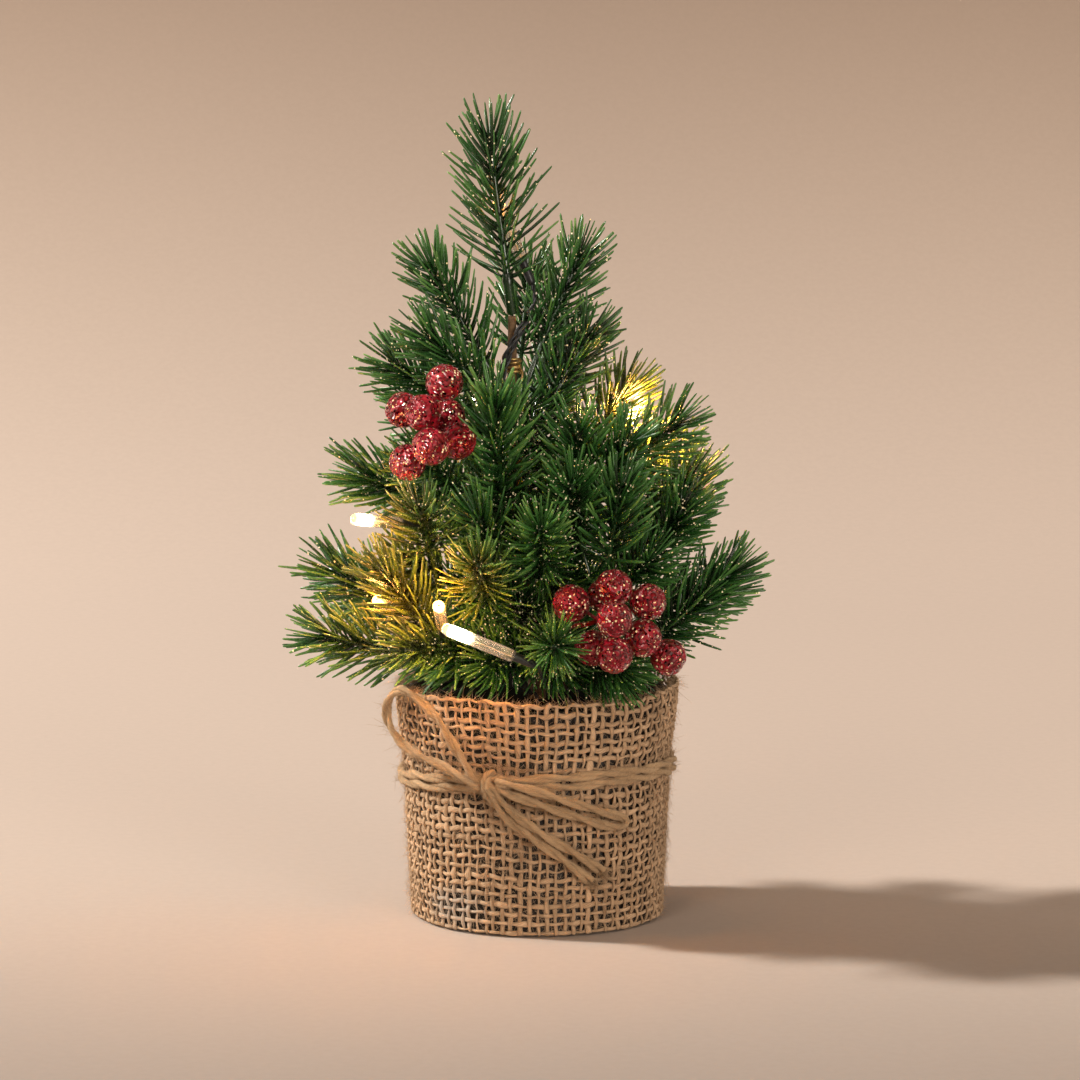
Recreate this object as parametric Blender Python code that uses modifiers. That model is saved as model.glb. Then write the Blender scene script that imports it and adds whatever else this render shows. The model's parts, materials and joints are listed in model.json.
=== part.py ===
"""Artificial tabletop tree with battery lights, berries and a burlap-wrapped pot.

Metres, +Z up. The origin is the centre of the flat underside; the viewer
stands on the -Y side and +X is to the right.
"""
import math

import bpy
import bmesh
from mathutils import Matrix, Vector

# ---------------------------------------------------------------- clearances
GAP = 0.0003                  # between two pieces that touch
SLIDE_GAP = 0.0004            # beside a piece that slides or swings

# ----------------------------------------------------------------------- pot
POT_HEIGHT = 0.088            # pot rim above the table
POT_BASE_RADIUS = 0.0476      # outside, at the table
POT_RIM_RADIUS = 0.0522       # outside, at the rim
POT_WALL = 0.0016
POT_LIFT = 0.0006             # pot and wrap hang just clear of the table
BURLAP_THICKNESS = 0.0018
BURLAP_ABOVE_RIM = 0.005      # the raw edge stands above the pot

# ---------------------------------------------------------------- base inside
BASE_THICKNESS = 0.0024
BALLAST_HEIGHT = 0.022
BALLAST_ABOVE_BAY = 0.0012
FILLER_BELOW_RIM = 0.003
CELL_RADIUS = 0.00725         # two AA cells
CELL_LENGTH = 0.0492
CELL_NUB_LENGTH = 0.0013
CELL_NUB_RADIUS = 0.0027
BAY_WALL = 0.0012
BAY_CLEARANCE = 0.0005        # between the bay's far corners and the pot
DOOR_THICKNESS = 0.0017
DOOR_RECESS = 0.0004
CONTACT_THICKNESS = 0.0005
SPRING_LENGTH = 0.0040
SPRING_WIRE = 0.0007
SPRING_RADIUS = 0.0030
SPRING_TURNS = 3
SWITCH_OFFSET = 0.022         # slot centre, in front of the axis
SWITCH_TRAVEL = 0.004
KNOB_LENGTH = 0.0032
KNOB_WIDTH = 0.0028
SWITCH_BODY = (0.0100, 0.0056, 0.0046)
BOARD = (0.024, 0.016, 0.0016)

# --------------------------------------------------------------------- twine
TWINE_DIAMETER = 0.0036
BAND_HEIGHT = 0.0572          # middle of the two turns, at the sides
BAND_TILT = 0.0036            # the band rides up at the front by this much
KNOT_ANGLE = -108             # degrees round the pot, from +X
KNOT_SIZE = (0.0046, 0.0038, 0.0050)

# --------------------------------------------------------------------- trunk
TRUNK_FOOT_RADIUS = 0.0036
TRUNK_TOP_RADIUS = 0.0016
TRUNK_ABOVE_RIM = 0.147       # length of pole that stands out of the pot
TRUNK_IN_FILLER = 0.036
TRUNK_LEAN = -0.0096          # sideways set of the upper trunk
LEAN_HEIGHT = 0.120           # the lean is complete this far above the rim
BINDING_WIRE = 0.0009
BINDING_TURNS = 5
BINDING_HEIGHT = 0.1245       # above the rim

# ------------------------------------------------------------------ branches
STEM_RADIUS = 0.0010
NEEDLE_CORE_RADIUS = 0.0046   # the stiff inner part of a needle tip
NEEDLE_TIP_RADIUS = 0.0022
LEADER_CORE_RADIUS = 0.0038
LEADER_LENGTH = 0.0825
LEADER_SET = (-0.0108, 0.0)   # sideways set of the leader's tip

# -------------------------------------------------------------------- lights
CABLE_RADIUS = 0.0009
CABLE_CHANNEL_RADIUS = 0.0022
CABLE_STANDOFF = 0.0062       # from the trunk's axis, behind it
BOOT_RADIUS = 0.0017
BOOT_LENGTH = 0.010
LAMP_RADIUS = 0.0024
LEAD_RADIUS = 0.0007

# ------------------------------------------------------------------- berries
BERRY_RADIUS = 0.0072
BERRY_STEM_RADIUS = 0.0010

MM = 0.001

# Branches: height of the root above the rim, then where the needles start and
# where they end, each as (x, y, height above the rim) in millimetres from the
# foot of the trunk.
BRANCHES = {
    "crown_left": (102, (-21, -1, 131), (-48, -6, 178)),
    "crown_right": (112, (3, 8, 138), (22, 13, 182)),
    "crown_front": (108, (-20, -17, 121), (-51, -28, 149)),
    "crown_back": (115, (-6, 14, 134), (-2, 32, 174)),
    "upper_left": (88, (-29, 0, 111), (-67, 4, 135)),
    "upper_right": (88, (22, 6, 98), (42, 8, 129)),
    "upper_front": (72, (-13, -25, 78), (-17, -48, 130)),
    "upper_front_right": (80, (17, -20, 80), (15, -37, 117)),
    "upper_back": (94, (2, 24, 106), (12, 54, 134)),
    "middle_left": (66, (-42, -8, 76), (-81, -6, 91)),
    "middle_right": (70, (30, -10, 86), (64, -12, 115)),
    "middle_front_right": (52, (28, -36, 60), (33, -49, 97)),
    "middle_front": (44, (2, -30, 52), (1, -72, 78)),
    "middle_back": (62, (-10, 34, 72), (-22, 70, 94)),
    "lower_left": (30, (-58, -2, 36), (-92, 5, 53)),
    "lower_right": (40, (42, 4, 57), (68, 8, 95)),
    "lower_front": (34, (-19, -30, 40), (-23, -78, 64)),
    "lower_front_left": (24, (-40, -29, 27), (-65, -47, 63)),
    "lower_back": (34, (26, 36, 42), (50, 68, 62)),
    "bottom_left": (10, (-54, -12, 16), (-101, -16, 29)),
    "bottom_right": (20, (48, -8, 23), (90, -5, 60)),
    "bottom_front": (13, (6, -38, 24), (7, -90, 31)),
    "bottom_back": (10, (-26, 38, 16), (-50, 76, 32)),
}

# Lamps: the branch that each is tied to, its wire from the trunk to the boot,
# then the foot and the tip of the clear tube, in the same coordinates.
LAMPS = {
    "lamp_left": ("lower_front_left", [(-10, -2, 37), (-32, -18, 55)], (-52, -40, 71), (-70, -50, 74)),
    "lamp_low_front": ("bottom_front", [(6, -12, 6), (2, -46, 12)], (-9, -72, 25), (-35, -80, 37)),
    "lamp_right": ("upper_right", [(-2, 8, 80), (16, 16, 82)], (30, 18, 90), (42, 19, 115)),
    "lamp_small_left": ("lower_left", [(-10, -5, 28), (-34, -11, 25)], (-48, -18, 30), (-62, -34, 41)),
    "lamp_small_front": ("lower_front", [(-5, -10, 28), (-26, -28, 26)], (-36, -44, 32), (-37, -62, 43)),
    "lamp_back_high": ("upper_back", [(-4, 10, 82), (-14, 26, 88)], (-20, 36, 98), (-27, 47, 115)),
    "lamp_back_low": ("lower_back", [(6, 8, 24), (6, 34, 22)], (10, 50, 28), (18, 66, 40)),
}

# Berries of the two picks and the point where each pick's stems meet.
BERRY_PICKS = {
    "berry_pick_right": {
        "root_height": 27,
        "hub": (27, -46, 35),
        "berries": [(29, -60, 49), (42, -55, 43), (29, -72, 39), (40, -61, 30), (29, -70, 25),
                    (21, -59, 26), (13, -59, 43), (50, -50, 21), (26, -46, 44)],
    },
    "berry_pick_left": {
        "root_height": 100,
        "hub": (-38, -38, 108),
        "berries": [(-35, -43, 125), (-43, -47, 114), (-51, -36, 114), (-40, -55, 102),
                    (-49, -46, 95), (-34, -33, 111), (-30, -44, 103)],
    },
}

# The bow, from the knot: degrees round the pot, stand-off from the burlap and
# height over the band, in millimetres.
BOW_LOOP_LEFT = [(-6, 6.4, 2.8), (-12, 7.0, 12), (-19, 8.5, 24), (-27, 10.5, 32), (-34, 12.5, 34),
                 (-38.5, 14, 29), (-39.5, 14, 22), (-36, 12.5, 15), (-29, 10.5, 10), (-20, 8.5, 7),
                 (-12, 7.0, 3), (-6, 6.3, -1.6)]
BOW_LOOP_RIGHT = [(6, 6.5, 1.4), (16, 6.6, -0.8), (29, 6.2, -5.2), (42, 5.6, -9.6), (52, 4.8, -12.6),
                  (57, 4.0, -15.2), (56.5, 3.6, -17.8), (51, 3.8, -18.4), (41, 4.4, -15.6),
                  (29, 4.8, -11.4), (17, 5.4, -7.6), (7, 6.3, -3.2)]
BOW_TAIL_UPPER = [(2.6, 5.6, -7.6), (12, 5.4, -14), (25, 4.6, -23), (36, 3.6, -30), (42.5, 2.8, -34.6)]
BOW_TAIL_LOWER = [(-2.6, 5.2, -7.6), (6, 4.6, -16), (18, 3.8, -26.6), (29, 3.2, -34.6), (36.5, 2.6, -40)]

# The light cable from behind the trunk to the foot of the leader: sideways and
# depth from the trunk's axis, and height over the rim.
CABLE_CLIMB_ANGLE = 148       # degrees round the trunk, from +X
CABLE_CROSSING = [(-5.6, 2.4, 98), (-6.6, -1.0, 105), (-6.6, -3.2, 112), (-5.6, -5.6, 119), (-4.4, -6.2, 126),
                  (-0.8, -5.2, 136), (4.2, -1.6, 145)]
TOP_LAMP_LEAD = [(5.6, -0.4, 148), (8.6, 1.6, 152)]
TOP_LAMP_TUBE = ((4.0, 5.4, 168), (-6.0, 7.4, 192))


def wrap_radius(height):
    """Outside radius of the burlap at a height."""
    slope = (POT_RIM_RADIUS - POT_BASE_RADIUS) / POT_HEIGHT
    return POT_BASE_RADIUS + slope * height + GAP + BURLAP_THICKNESS


def trunk_axis(above_rim):
    """Point on the trunk's axis at a height above the rim."""
    share = min(max(above_rim / LEAN_HEIGHT, 0.0), 1.0)
    lean = TRUNK_LEAN * math.sin(share * math.pi / 2) ** 1.4
    return Vector((lean, 0.0, POT_HEIGHT + above_rim))


def trunk_radius(above_rim):
    share = min(max(above_rim / TRUNK_ABOVE_RIM, 0.0), 1.0)
    return TRUNK_FOOT_RADIUS + (TRUNK_TOP_RADIUS - TRUNK_FOOT_RADIUS) * share


def over_rim(point):
    """Millimetres over the middle of the rim, as a point in metres."""
    return Vector((point[0] * MM, point[1] * MM, point[2] * MM + POT_HEIGHT))


def smooth_path(points, steps):
    """A smooth open curve through the points, with steps pieces between two."""
    points = [Vector(p) for p in points]
    ends = [2 * points[0] - points[1]] + points + [2 * points[-1] - points[-2]]
    path = []
    for a, b, c, d in zip(ends, ends[1:], ends[2:], ends[3:]):
        for step in range(steps):
            t = step / steps
            path.append(0.5 * (2 * b + (c - a) * t + (2 * a - 5 * b + 4 * c - d) * t * t
                               + (3 * b - a - 3 * c + d) * t ** 3))
    return path + [points[-1]]


# ------------------------------------------------------------ scene and tools
def clear_scene():
    for obj in list(bpy.data.objects):
        bpy.data.objects.remove(obj, do_unlink=True)


def new_collection(name):
    collection = bpy.data.collections.new(name)
    bpy.context.scene.collection.children.link(collection)
    return collection


def make_material(name, colour, roughness, metallic=0.0):
    material = bpy.data.materials.new(name)
    material.use_nodes = True
    shader = material.node_tree.nodes["Principled BSDF"]
    shader.inputs["Base Color"].default_value = (*colour, 1.0)
    shader.inputs["Roughness"].default_value = roughness
    shader.inputs["Metallic"].default_value = metallic
    material.diffuse_color = (*colour, 1.0)
    return material


def add_object(name, data, material, collection):
    obj = bpy.data.objects.new(name, data)
    collection.objects.link(obj)
    if material:
        data.materials.append(material)
    return obj


def mesh_from(name, bm):
    mesh = bpy.data.meshes.new(name)
    bm.to_mesh(mesh)
    bm.free()
    return mesh


def shade(obj, angle=35):
    obj.data.shade_smooth()
    obj.data.set_sharp_from_angle(angle=math.radians(angle))


def add_box(name, low, high, material, collection):
    bm = bmesh.new()
    bmesh.ops.create_cube(bm, size=1.0)
    low, high = Vector(low), Vector(high)
    size, middle = high - low, (high + low) / 2
    bmesh.ops.transform(bm, matrix=Matrix.Translation(middle) @ Matrix.Diagonal((*size, 1.0)), verts=bm.verts)
    return add_object(name, mesh_from(name, bm), material, collection)


def add_cylinder(name, radius, low, high, middle, material, collection, sides=32):
    bm = bmesh.new()
    bmesh.ops.create_cone(bm, cap_ends=True, segments=sides, radius1=radius, radius2=radius, depth=high - low)
    bmesh.ops.translate(bm, vec=(middle[0], middle[1], (low + high) / 2), verts=bm.verts)
    return add_object(name, mesh_from(name, bm), material, collection)


def add_turned(name, profile, material, collection, sides=48, closed=True):
    """Turns a profile of (radius, height) points about Z; a closed one is a ring."""
    bm = bmesh.new()
    verts = [bm.verts.new((radius, 0.0, height)) for radius, height in profile]
    pairs = list(zip(verts, verts[1:]))
    if closed:
        pairs.append((verts[-1], verts[0]))
    for pair in pairs:
        bm.edges.new(pair)
    obj = add_object(name, mesh_from(name, bm), material, collection)
    screw = obj.modifiers.new("turn", "SCREW")
    screw.axis = "Z"
    screw.steps = sides
    screw.render_steps = sides
    screw.use_merge_vertices = True
    screw.merge_threshold = 0.00001
    return obj


def add_tube(name, points, radius, material, collection, radii=None, resolution=2, origin=(0, 0, 0), closed=False):
    """A tube on straight pieces through the points; radii scale it point by point."""
    curve = bpy.data.curves.new(name, "CURVE")
    curve.dimensions = "3D"
    curve.bevel_depth = radius
    curve.bevel_resolution = resolution
    curve.use_fill_caps = not closed
    spline = curve.splines.new("POLY")
    spline.points.add(len(points) - 1)
    origin = Vector(origin)
    for index, point in enumerate(points):
        spline.points[index].co = (*(Vector(point) - origin), 1.0)
        spline.points[index].radius = radii[index] / radius if radii else 1.0
    spline.use_cyclic_u = closed
    obj = add_object(name, curve, material, collection)
    obj.location = origin
    return obj


def as_mesh(obj):
    """The evaluated shape of an object as a plain mesh object in its place."""
    bpy.context.view_layer.update()
    graph = bpy.context.evaluated_depsgraph_get()
    mesh = bpy.data.meshes.new_from_object(obj.evaluated_get(graph))
    bm = bmesh.new()
    bm.from_mesh(mesh)
    bmesh.ops.remove_doubles(bm, verts=bm.verts, dist=0.000001)
    bm.to_mesh(mesh)
    bm.free()
    name, matrix, collection = obj.name, obj.matrix_world.copy(), obj.users_collection[0]
    bpy.data.objects.remove(obj, do_unlink=True)
    solid = bpy.data.objects.new(name, mesh)
    collection.objects.link(solid)
    solid.matrix_world = matrix
    return solid


def combine(obj, tool, operation):
    """Adds a Boolean of a helper, which stays hidden."""
    tool.hide_render = True
    tool.display_type = "WIRE"
    modifier = obj.modifiers.new(tool.name, "BOOLEAN")
    modifier.operation = operation
    modifier.solver = "EXACT"
    modifier.object = tool


# --------------------------------------------------------- sizes that follow
def bay_size():
    """Inside of the battery bay as (low, high) corners."""
    length = CELL_LENGTH + CELL_NUB_LENGTH + SPRING_LENGTH + 2 * CONTACT_THICKNESS + 5 * GAP
    width = 4 * CELL_RADIUS + 3 * GAP
    corner_reach = inside_radius(POT_LIFT) - BAY_CLEARANCE
    far = math.sqrt(corner_reach ** 2 - (length / 2 + BAY_WALL) ** 2) - BAY_WALL
    near = far - width
    roof = DOOR_RECESS + DOOR_THICKNESS + 2 * CELL_RADIUS + 2 * GAP
    return (-length / 2, near, 0.0), (length / 2, far, roof)


def bay_top():
    return bay_size()[1][2] + BAY_WALL


def ballast_low():
    return bay_top() + BALLAST_ABOVE_BAY


def inside_radius(height):
    return wrap_radius(height) - BURLAP_THICKNESS - GAP - POT_WALL


# ------------------------------------------------------------------ sub-parts
def build_pot(parts, materials):
    foot, rim = wrap_radius(POT_LIFT) - BURLAP_THICKNESS - GAP, wrap_radius(POT_HEIGHT) - BURLAP_THICKNESS - GAP
    profile = [(rim, POT_HEIGHT), (foot, POT_LIFT), (foot - POT_WALL, POT_LIFT), (rim - POT_WALL, POT_HEIGHT)]
    pot = add_turned("pot_shell", profile, materials["pot"], parts)
    shade(pot)
    top = POT_HEIGHT + BURLAP_ABOVE_RIM
    profile = [
        (wrap_radius(top), top), (wrap_radius(POT_LIFT), POT_LIFT),
        (wrap_radius(POT_LIFT) - BURLAP_THICKNESS, POT_LIFT), (wrap_radius(top) - BURLAP_THICKNESS, top),
    ]
    wrap = add_turned("burlap_wrap", profile, materials["burlap"], parts)
    shade(wrap)


def build_base_plate(parts, tools, materials):
    low, high = bay_size()
    radius = inside_radius(POT_LIFT) - GAP
    plate = add_cylinder("base_plate", radius, 0.0, BASE_THICKNESS, (0, 0), materials["base"], parts, 64)
    shell_low = (low[0] - BAY_WALL, low[1] - BAY_WALL, BASE_THICKNESS / 2)
    shell_high = (high[0] + BAY_WALL, high[1] + BAY_WALL, bay_top())
    combine(plate, add_box("bay_shell", shell_low, shell_high, None, tools), "UNION")
    hollow = add_box("bay_hollow", (low[0], low[1], -BASE_THICKNESS), high, None, tools)
    combine(plate, hollow, "DIFFERENCE")
    half_length = (KNOB_LENGTH + SWITCH_TRAVEL) / 2 + SLIDE_GAP
    half_width = KNOB_WIDTH / 2 + SLIDE_GAP
    slot = add_box("switch_slot", (-half_length, -SWITCH_OFFSET - half_width, -BASE_THICKNESS),
                   (half_length, -SWITCH_OFFSET + half_width, 2 * BASE_THICKNESS), None, tools)
    combine(plate, slot, "DIFFERENCE")
    notch = add_box("cable_notch", (-0.002, low[1] - 1.5 * BAY_WALL, BASE_THICKNESS + 0.004),
                    (0.002, low[1] + BAY_WALL / 2, BASE_THICKNESS + 0.008), None, tools)
    combine(plate, notch, "DIFFERENCE")


def build_battery_door(parts, materials):
    low, high = bay_size()
    hinge = (0.0, high[1] - SLIDE_GAP, DOOR_RECESS + DOOR_THICKNESS / 2)
    door_low = Vector((low[0] + SLIDE_GAP, low[1] + SLIDE_GAP, DOOR_RECESS)) - Vector(hinge)
    door_high = Vector((high[0] - SLIDE_GAP, high[1] - SLIDE_GAP, DOOR_RECESS + DOOR_THICKNESS)) - Vector(hinge)
    door_high.y -= DOOR_THICKNESS / 2 + SLIDE_GAP
    door = add_box("battery_door", door_low, door_high, materials["base"], parts)
    door.location = hinge
    bevel = door.modifiers.new("edge", "BEVEL")
    bevel.width = 0.0003
    bevel.segments = 1


def build_cells(parts, materials):
    low, high = bay_size()
    height = DOOR_RECESS + DOOR_THICKNESS + GAP + CELL_RADIUS
    contact_face = low[0] + GAP + CONTACT_THICKNESS
    cell_low = contact_face + SPRING_LENGTH + 2 * GAP
    rim = CELL_RADIUS * 0.9
    profile = [
        (0.0, CELL_LENGTH + CELL_NUB_LENGTH), (CELL_NUB_RADIUS, CELL_LENGTH + CELL_NUB_LENGTH),
        (CELL_NUB_RADIUS, CELL_LENGTH), (rim, CELL_LENGTH), (CELL_RADIUS, CELL_LENGTH * 0.985),
        (CELL_RADIUS, CELL_LENGTH * 0.015), (rim, 0.0), (0.0, 0.0),
    ]
    for index in range(2):
        side = low[1] + GAP + CELL_RADIUS + index * (2 * CELL_RADIUS + GAP)
        facing = 1 if index == 0 else -1
        cell = add_turned(f"battery_{index + 1}", profile, materials["cell"], parts, 24, closed=False)
        shade(cell)
        cell.rotation_euler = (0.0, facing * math.pi / 2, 0.0)
        cell.location = (facing * cell_low, side, height)
        start = (facing * contact_face, side, height)
        build_spring(f"battery_spring_{index + 1}", start, facing, parts, materials)
    build_contacts(height, parts, materials)


def build_spring(name, start, facing, parts, materials):
    """A conical coil that presses on the flat end of a cell."""
    points = []
    sides = 8
    usable = SPRING_LENGTH - SPRING_WIRE
    for step in range(SPRING_TURNS * sides + 1):
        share = step / (SPRING_TURNS * sides)
        angle = step * 2 * math.pi / sides
        radius = SPRING_RADIUS * (1.0 - 0.35 * share)
        along = SPRING_WIRE / 2 + GAP + usable * share
        points.append((start[0] + facing * along, start[1] + radius * math.cos(angle),
                       start[2] + radius * math.sin(angle)))
    add_tube(name, points, SPRING_WIRE / 2, materials["contact"], parts, resolution=1)


def build_contacts(height, parts, materials):
    """The plate that joins the cells at one end, and the two terminals at the other."""
    low, high = bay_size()
    tall = CELL_RADIUS * 0.7
    bridge_low = (high[0] - CONTACT_THICKNESS - GAP, low[1] + 0.002, height - tall)
    bridge_high = (high[0] - GAP, high[1] - 0.002, height + tall)
    add_box("cell_bridge_plate", bridge_low, bridge_high, materials["contact"], parts)
    for index, name in enumerate(("terminal_minus", "terminal_plus")):
        side = low[1] + GAP + CELL_RADIUS + index * (2 * CELL_RADIUS + GAP)
        plate_low = (low[0] + GAP, side - tall, height - tall)
        plate_high = (low[0] + GAP + CONTACT_THICKNESS, side + tall, height + tall)
        add_box(name, plate_low, plate_high, materials["contact"], parts)


def build_switch(parts, materials):
    """The slide switch on the board, with its knob in the slot of the base."""
    length, width, tall = SWITCH_BODY
    low = BASE_THICKNESS + GAP
    body = add_box("switch_housing", (-length / 2, -SWITCH_OFFSET - width / 2, low + SLIDE_GAP),
                   (length / 2, -SWITCH_OFFSET + width / 2, low + SLIDE_GAP + tall), materials["switch"], parts)
    shade(body)
    board_low = low + SLIDE_GAP + tall + GAP
    add_box("timer_board", (-BOARD[0] / 2, -SWITCH_OFFSET - BOARD[1] / 2, board_low),
            (BOARD[0] / 2, -SWITCH_OFFSET + BOARD[1] / 2, board_low + BOARD[2]), materials["board"], parts)
    middle = (-SWITCH_TRAVEL / 2, -SWITCH_OFFSET, DOOR_RECESS)
    knob = add_box("switch_knob", (-KNOB_LENGTH / 2, -KNOB_WIDTH / 2, 0.0),
                   (KNOB_LENGTH / 2, KNOB_WIDTH / 2, low - DOOR_RECESS), materials["knob"], parts)
    knob.location = middle
    bevel = knob.modifiers.new("edge", "BEVEL")
    bevel.width = 0.00025
    bevel.segments = 2


def build_fillings(parts, tools, materials):
    """The weight over the battery bay, and the dark foam that holds the trunk."""
    low = ballast_low()
    high = low + BALLAST_HEIGHT
    profile = [(0.0, high), (inside_radius(high) - GAP, high), (inside_radius(low) - GAP, low), (0.0, low)]
    ballast = add_turned("ballast_block", profile, materials["ballast"], parts, closed=False)
    foam_low, foam_high = high + GAP, POT_HEIGHT - FILLER_BELOW_RIM
    profile = [(0.0, foam_high), (inside_radius(foam_high) - GAP, foam_high),
               (inside_radius(foam_low) - GAP, foam_low), (0.0, foam_low)]
    foam = add_turned("foam_filler", profile, materials["foam"], parts, closed=False)
    channel = add_cylinder("cable_channel", CABLE_CHANNEL_RADIUS, low - 0.001, POT_HEIGHT,
                           (0.0, -channel_depth()), None, tools, 16)
    socket = add_cylinder("trunk_socket", TRUNK_FOOT_RADIUS + GAP, POT_HEIGHT - FILLER_BELOW_RIM - TRUNK_IN_FILLER
                          - GAP, POT_HEIGHT, (0.0, 0.0), None, tools, 24)
    combine(ballast, channel, "DIFFERENCE")
    combine(foam, channel, "DIFFERENCE")
    combine(foam, socket, "DIFFERENCE")


def channel_depth():
    """How far in front of the axis the cable comes up through the filling."""
    return SWITCH_OFFSET - BOARD[1] / 2 - CABLE_CHANNEL_RADIUS


def build_trunk(parts, materials):
    heights = [-FILLER_BELOW_RIM - TRUNK_IN_FILLER, 0.0]
    count = 11
    heights += [TRUNK_ABOVE_RIM * (step + 1) / count for step in range(count)]
    points = [trunk_axis(height) for height in heights]
    radii = [trunk_radius(height) for height in heights]
    trunk = add_tube("trunk_pole", points, TRUNK_FOOT_RADIUS, materials["trunk"], parts, radii, 4)
    shade_curve(trunk)
    turn_points = []
    sides = 8
    for step in range(BINDING_TURNS * sides + 1):
        above = BINDING_HEIGHT + step * (BINDING_WIRE + GAP) / sides
        angle = step * 2 * math.pi / sides
        radius = (trunk_radius(BINDING_HEIGHT) + GAP + BINDING_WIRE / 2) / math.cos(math.pi / sides)
        turn_points.append(trunk_axis(above) + Vector((radius * math.cos(angle), radius * math.sin(angle), 0.0)))
    add_tube("binding_wire", turn_points, BINDING_WIRE / 2, materials["wire"], parts, resolution=1)


def shade_curve(obj):
    for spline in obj.data.splines:
        spline.use_smooth = True


def branch_root(root_height, toward):
    """Where a stem leaves the trunk, clear of its surface, on the way to a point."""
    centre = trunk_axis(root_height * MM)
    out = Vector((toward.x - centre.x, toward.y - centre.y, 0.0)).normalized()
    return centre + out * (trunk_radius(root_height * MM) + STEM_RADIUS + 2 * GAP)


def branch_path(root, start, tip):
    """Out from the trunk on a bend, then along the needles."""
    bend = start - (tip - start).normalized() * (start - root).length * 0.45
    path = []
    for step in range(4):
        t = step / 4
        path.append(root * (1 - t) ** 2 + bend * 2 * t * (1 - t) + start * t * t)
    count = 7
    path += [start.lerp(tip, step / count) for step in range(count + 1)]
    return path


def branch_radii(core):
    """Bare stem, then a needle body that swells and draws in to the tip."""
    swell = [0.62, 0.9, 1.0, 1.0, 0.97, 0.9, 0.78]
    return [STEM_RADIUS] * 4 + [core * share for share in swell] + [NEEDLE_TIP_RADIUS]


def build_branches(parts, materials):
    for name, (root_height, start, tip) in BRANCHES.items():
        start, tip = over_rim(start), over_rim(tip)
        root = branch_root(root_height, start)
        path = branch_path(root, start, tip)
        add_tube("branch_" + name, path, NEEDLE_CORE_RADIUS, materials["needles"], parts,
                 branch_radii(NEEDLE_CORE_RADIUS), 1, root)
    root = leader_root()
    tip = root + Vector((LEADER_SET[0], LEADER_SET[1], LEADER_LENGTH))
    count = 9
    path = [root.lerp(tip, step / count) for step in range(count + 1)]
    swell = [0.5, 0.8, 1.0, 1.0, 1.0, 0.94, 0.84, 0.68]
    radii = [TRUNK_TOP_RADIUS] + [LEADER_CORE_RADIUS * share for share in swell] + [NEEDLE_TIP_RADIUS]
    add_tube("branch_leader", path, LEADER_CORE_RADIUS, materials["needles"], parts, radii, 1, root)


def leader_root():
    """The foot of the leader, where its wire goes into the top of the trunk."""
    return trunk_axis(TRUNK_ABOVE_RIM) + Vector((0.0, 0.0, 2 * GAP))


def build_cable(parts, materials):
    """Up from the board through the filling, up behind the trunk and over to the leader."""
    board_top = BASE_THICKNESS + 2 * GAP + SLIDE_GAP + SWITCH_BODY[2] + BOARD[2]
    front = -channel_depth()
    route = [Vector((0.0, front - 0.0045, board_top + GAP + CABLE_RADIUS)),
             Vector((0.0, front - 0.001, board_top + 0.0035)), Vector((0.0, front, ballast_low())),
             Vector((0.0, front, POT_HEIGHT - FILLER_BELOW_RIM - 0.004))]
    route += [over_rim(point) for point in ((-2.2, front / MM + 1.2, 0.6), (-7.4, -6.6, 2.0), (-9.0, -0.5, 3.0))]
    turn = math.radians(CABLE_CLIMB_ANGLE)
    beside = Vector((CABLE_STANDOFF * math.cos(turn), CABLE_STANDOFF * math.sin(turn), 0.0))
    route += [trunk_axis(0.009 + 0.0165 * step) + beside for step in range(6)]
    route += [beside_trunk(point) for point in CABLE_CROSSING]
    add_tube("light_cable", smooth_path(route, 3), CABLE_RADIUS, materials["cable"], parts, resolution=1)


def beside_trunk(point):
    """A point given sideways and in depth from the trunk's axis, and over the rim."""
    return trunk_axis(point[2] * MM) + Vector((point[0] * MM, point[1] * MM, 0.0))


def lamp_shape(lead, foot, tip):
    """Path and radii of a lead, its boot and the clear tube."""
    boot_low = foot - (tip - foot).normalized() * BOOT_LENGTH
    path = smooth_path(lead + [boot_low], 3)
    radii = [LEAD_RADIUS] * len(path)
    inside = (tip - foot).normalized()
    path += [boot_low + inside * 0.0008, foot, foot + inside * 0.0006]
    radii += [BOOT_RADIUS, BOOT_RADIUS, LAMP_RADIUS]
    path += [tip - inside * 0.0020, tip - inside * 0.0007, tip]
    radii += [LAMP_RADIUS, LAMP_RADIUS * 0.75, LAMP_RADIUS * 0.3]
    return path, radii


def build_lamps(parts, materials):
    for name, (branch, lead, foot, tip) in LAMPS.items():
        root_height, start, _ = BRANCHES[branch]
        hinge = branch_root(root_height, over_rim(start))
        path, radii = lamp_shape([over_rim(p) for p in lead], over_rim(foot), over_rim(tip))
        add_tube(name, path, LAMP_RADIUS, materials["lamp"], parts, radii, 1, hinge)
    path, radii = lamp_shape([beside_trunk(point) for point in TOP_LAMP_LEAD], *map(beside_trunk, TOP_LAMP_TUBE))
    add_tube("lamp_top", path, LAMP_RADIUS, materials["lamp"], parts, radii, 1, leader_root())


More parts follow.
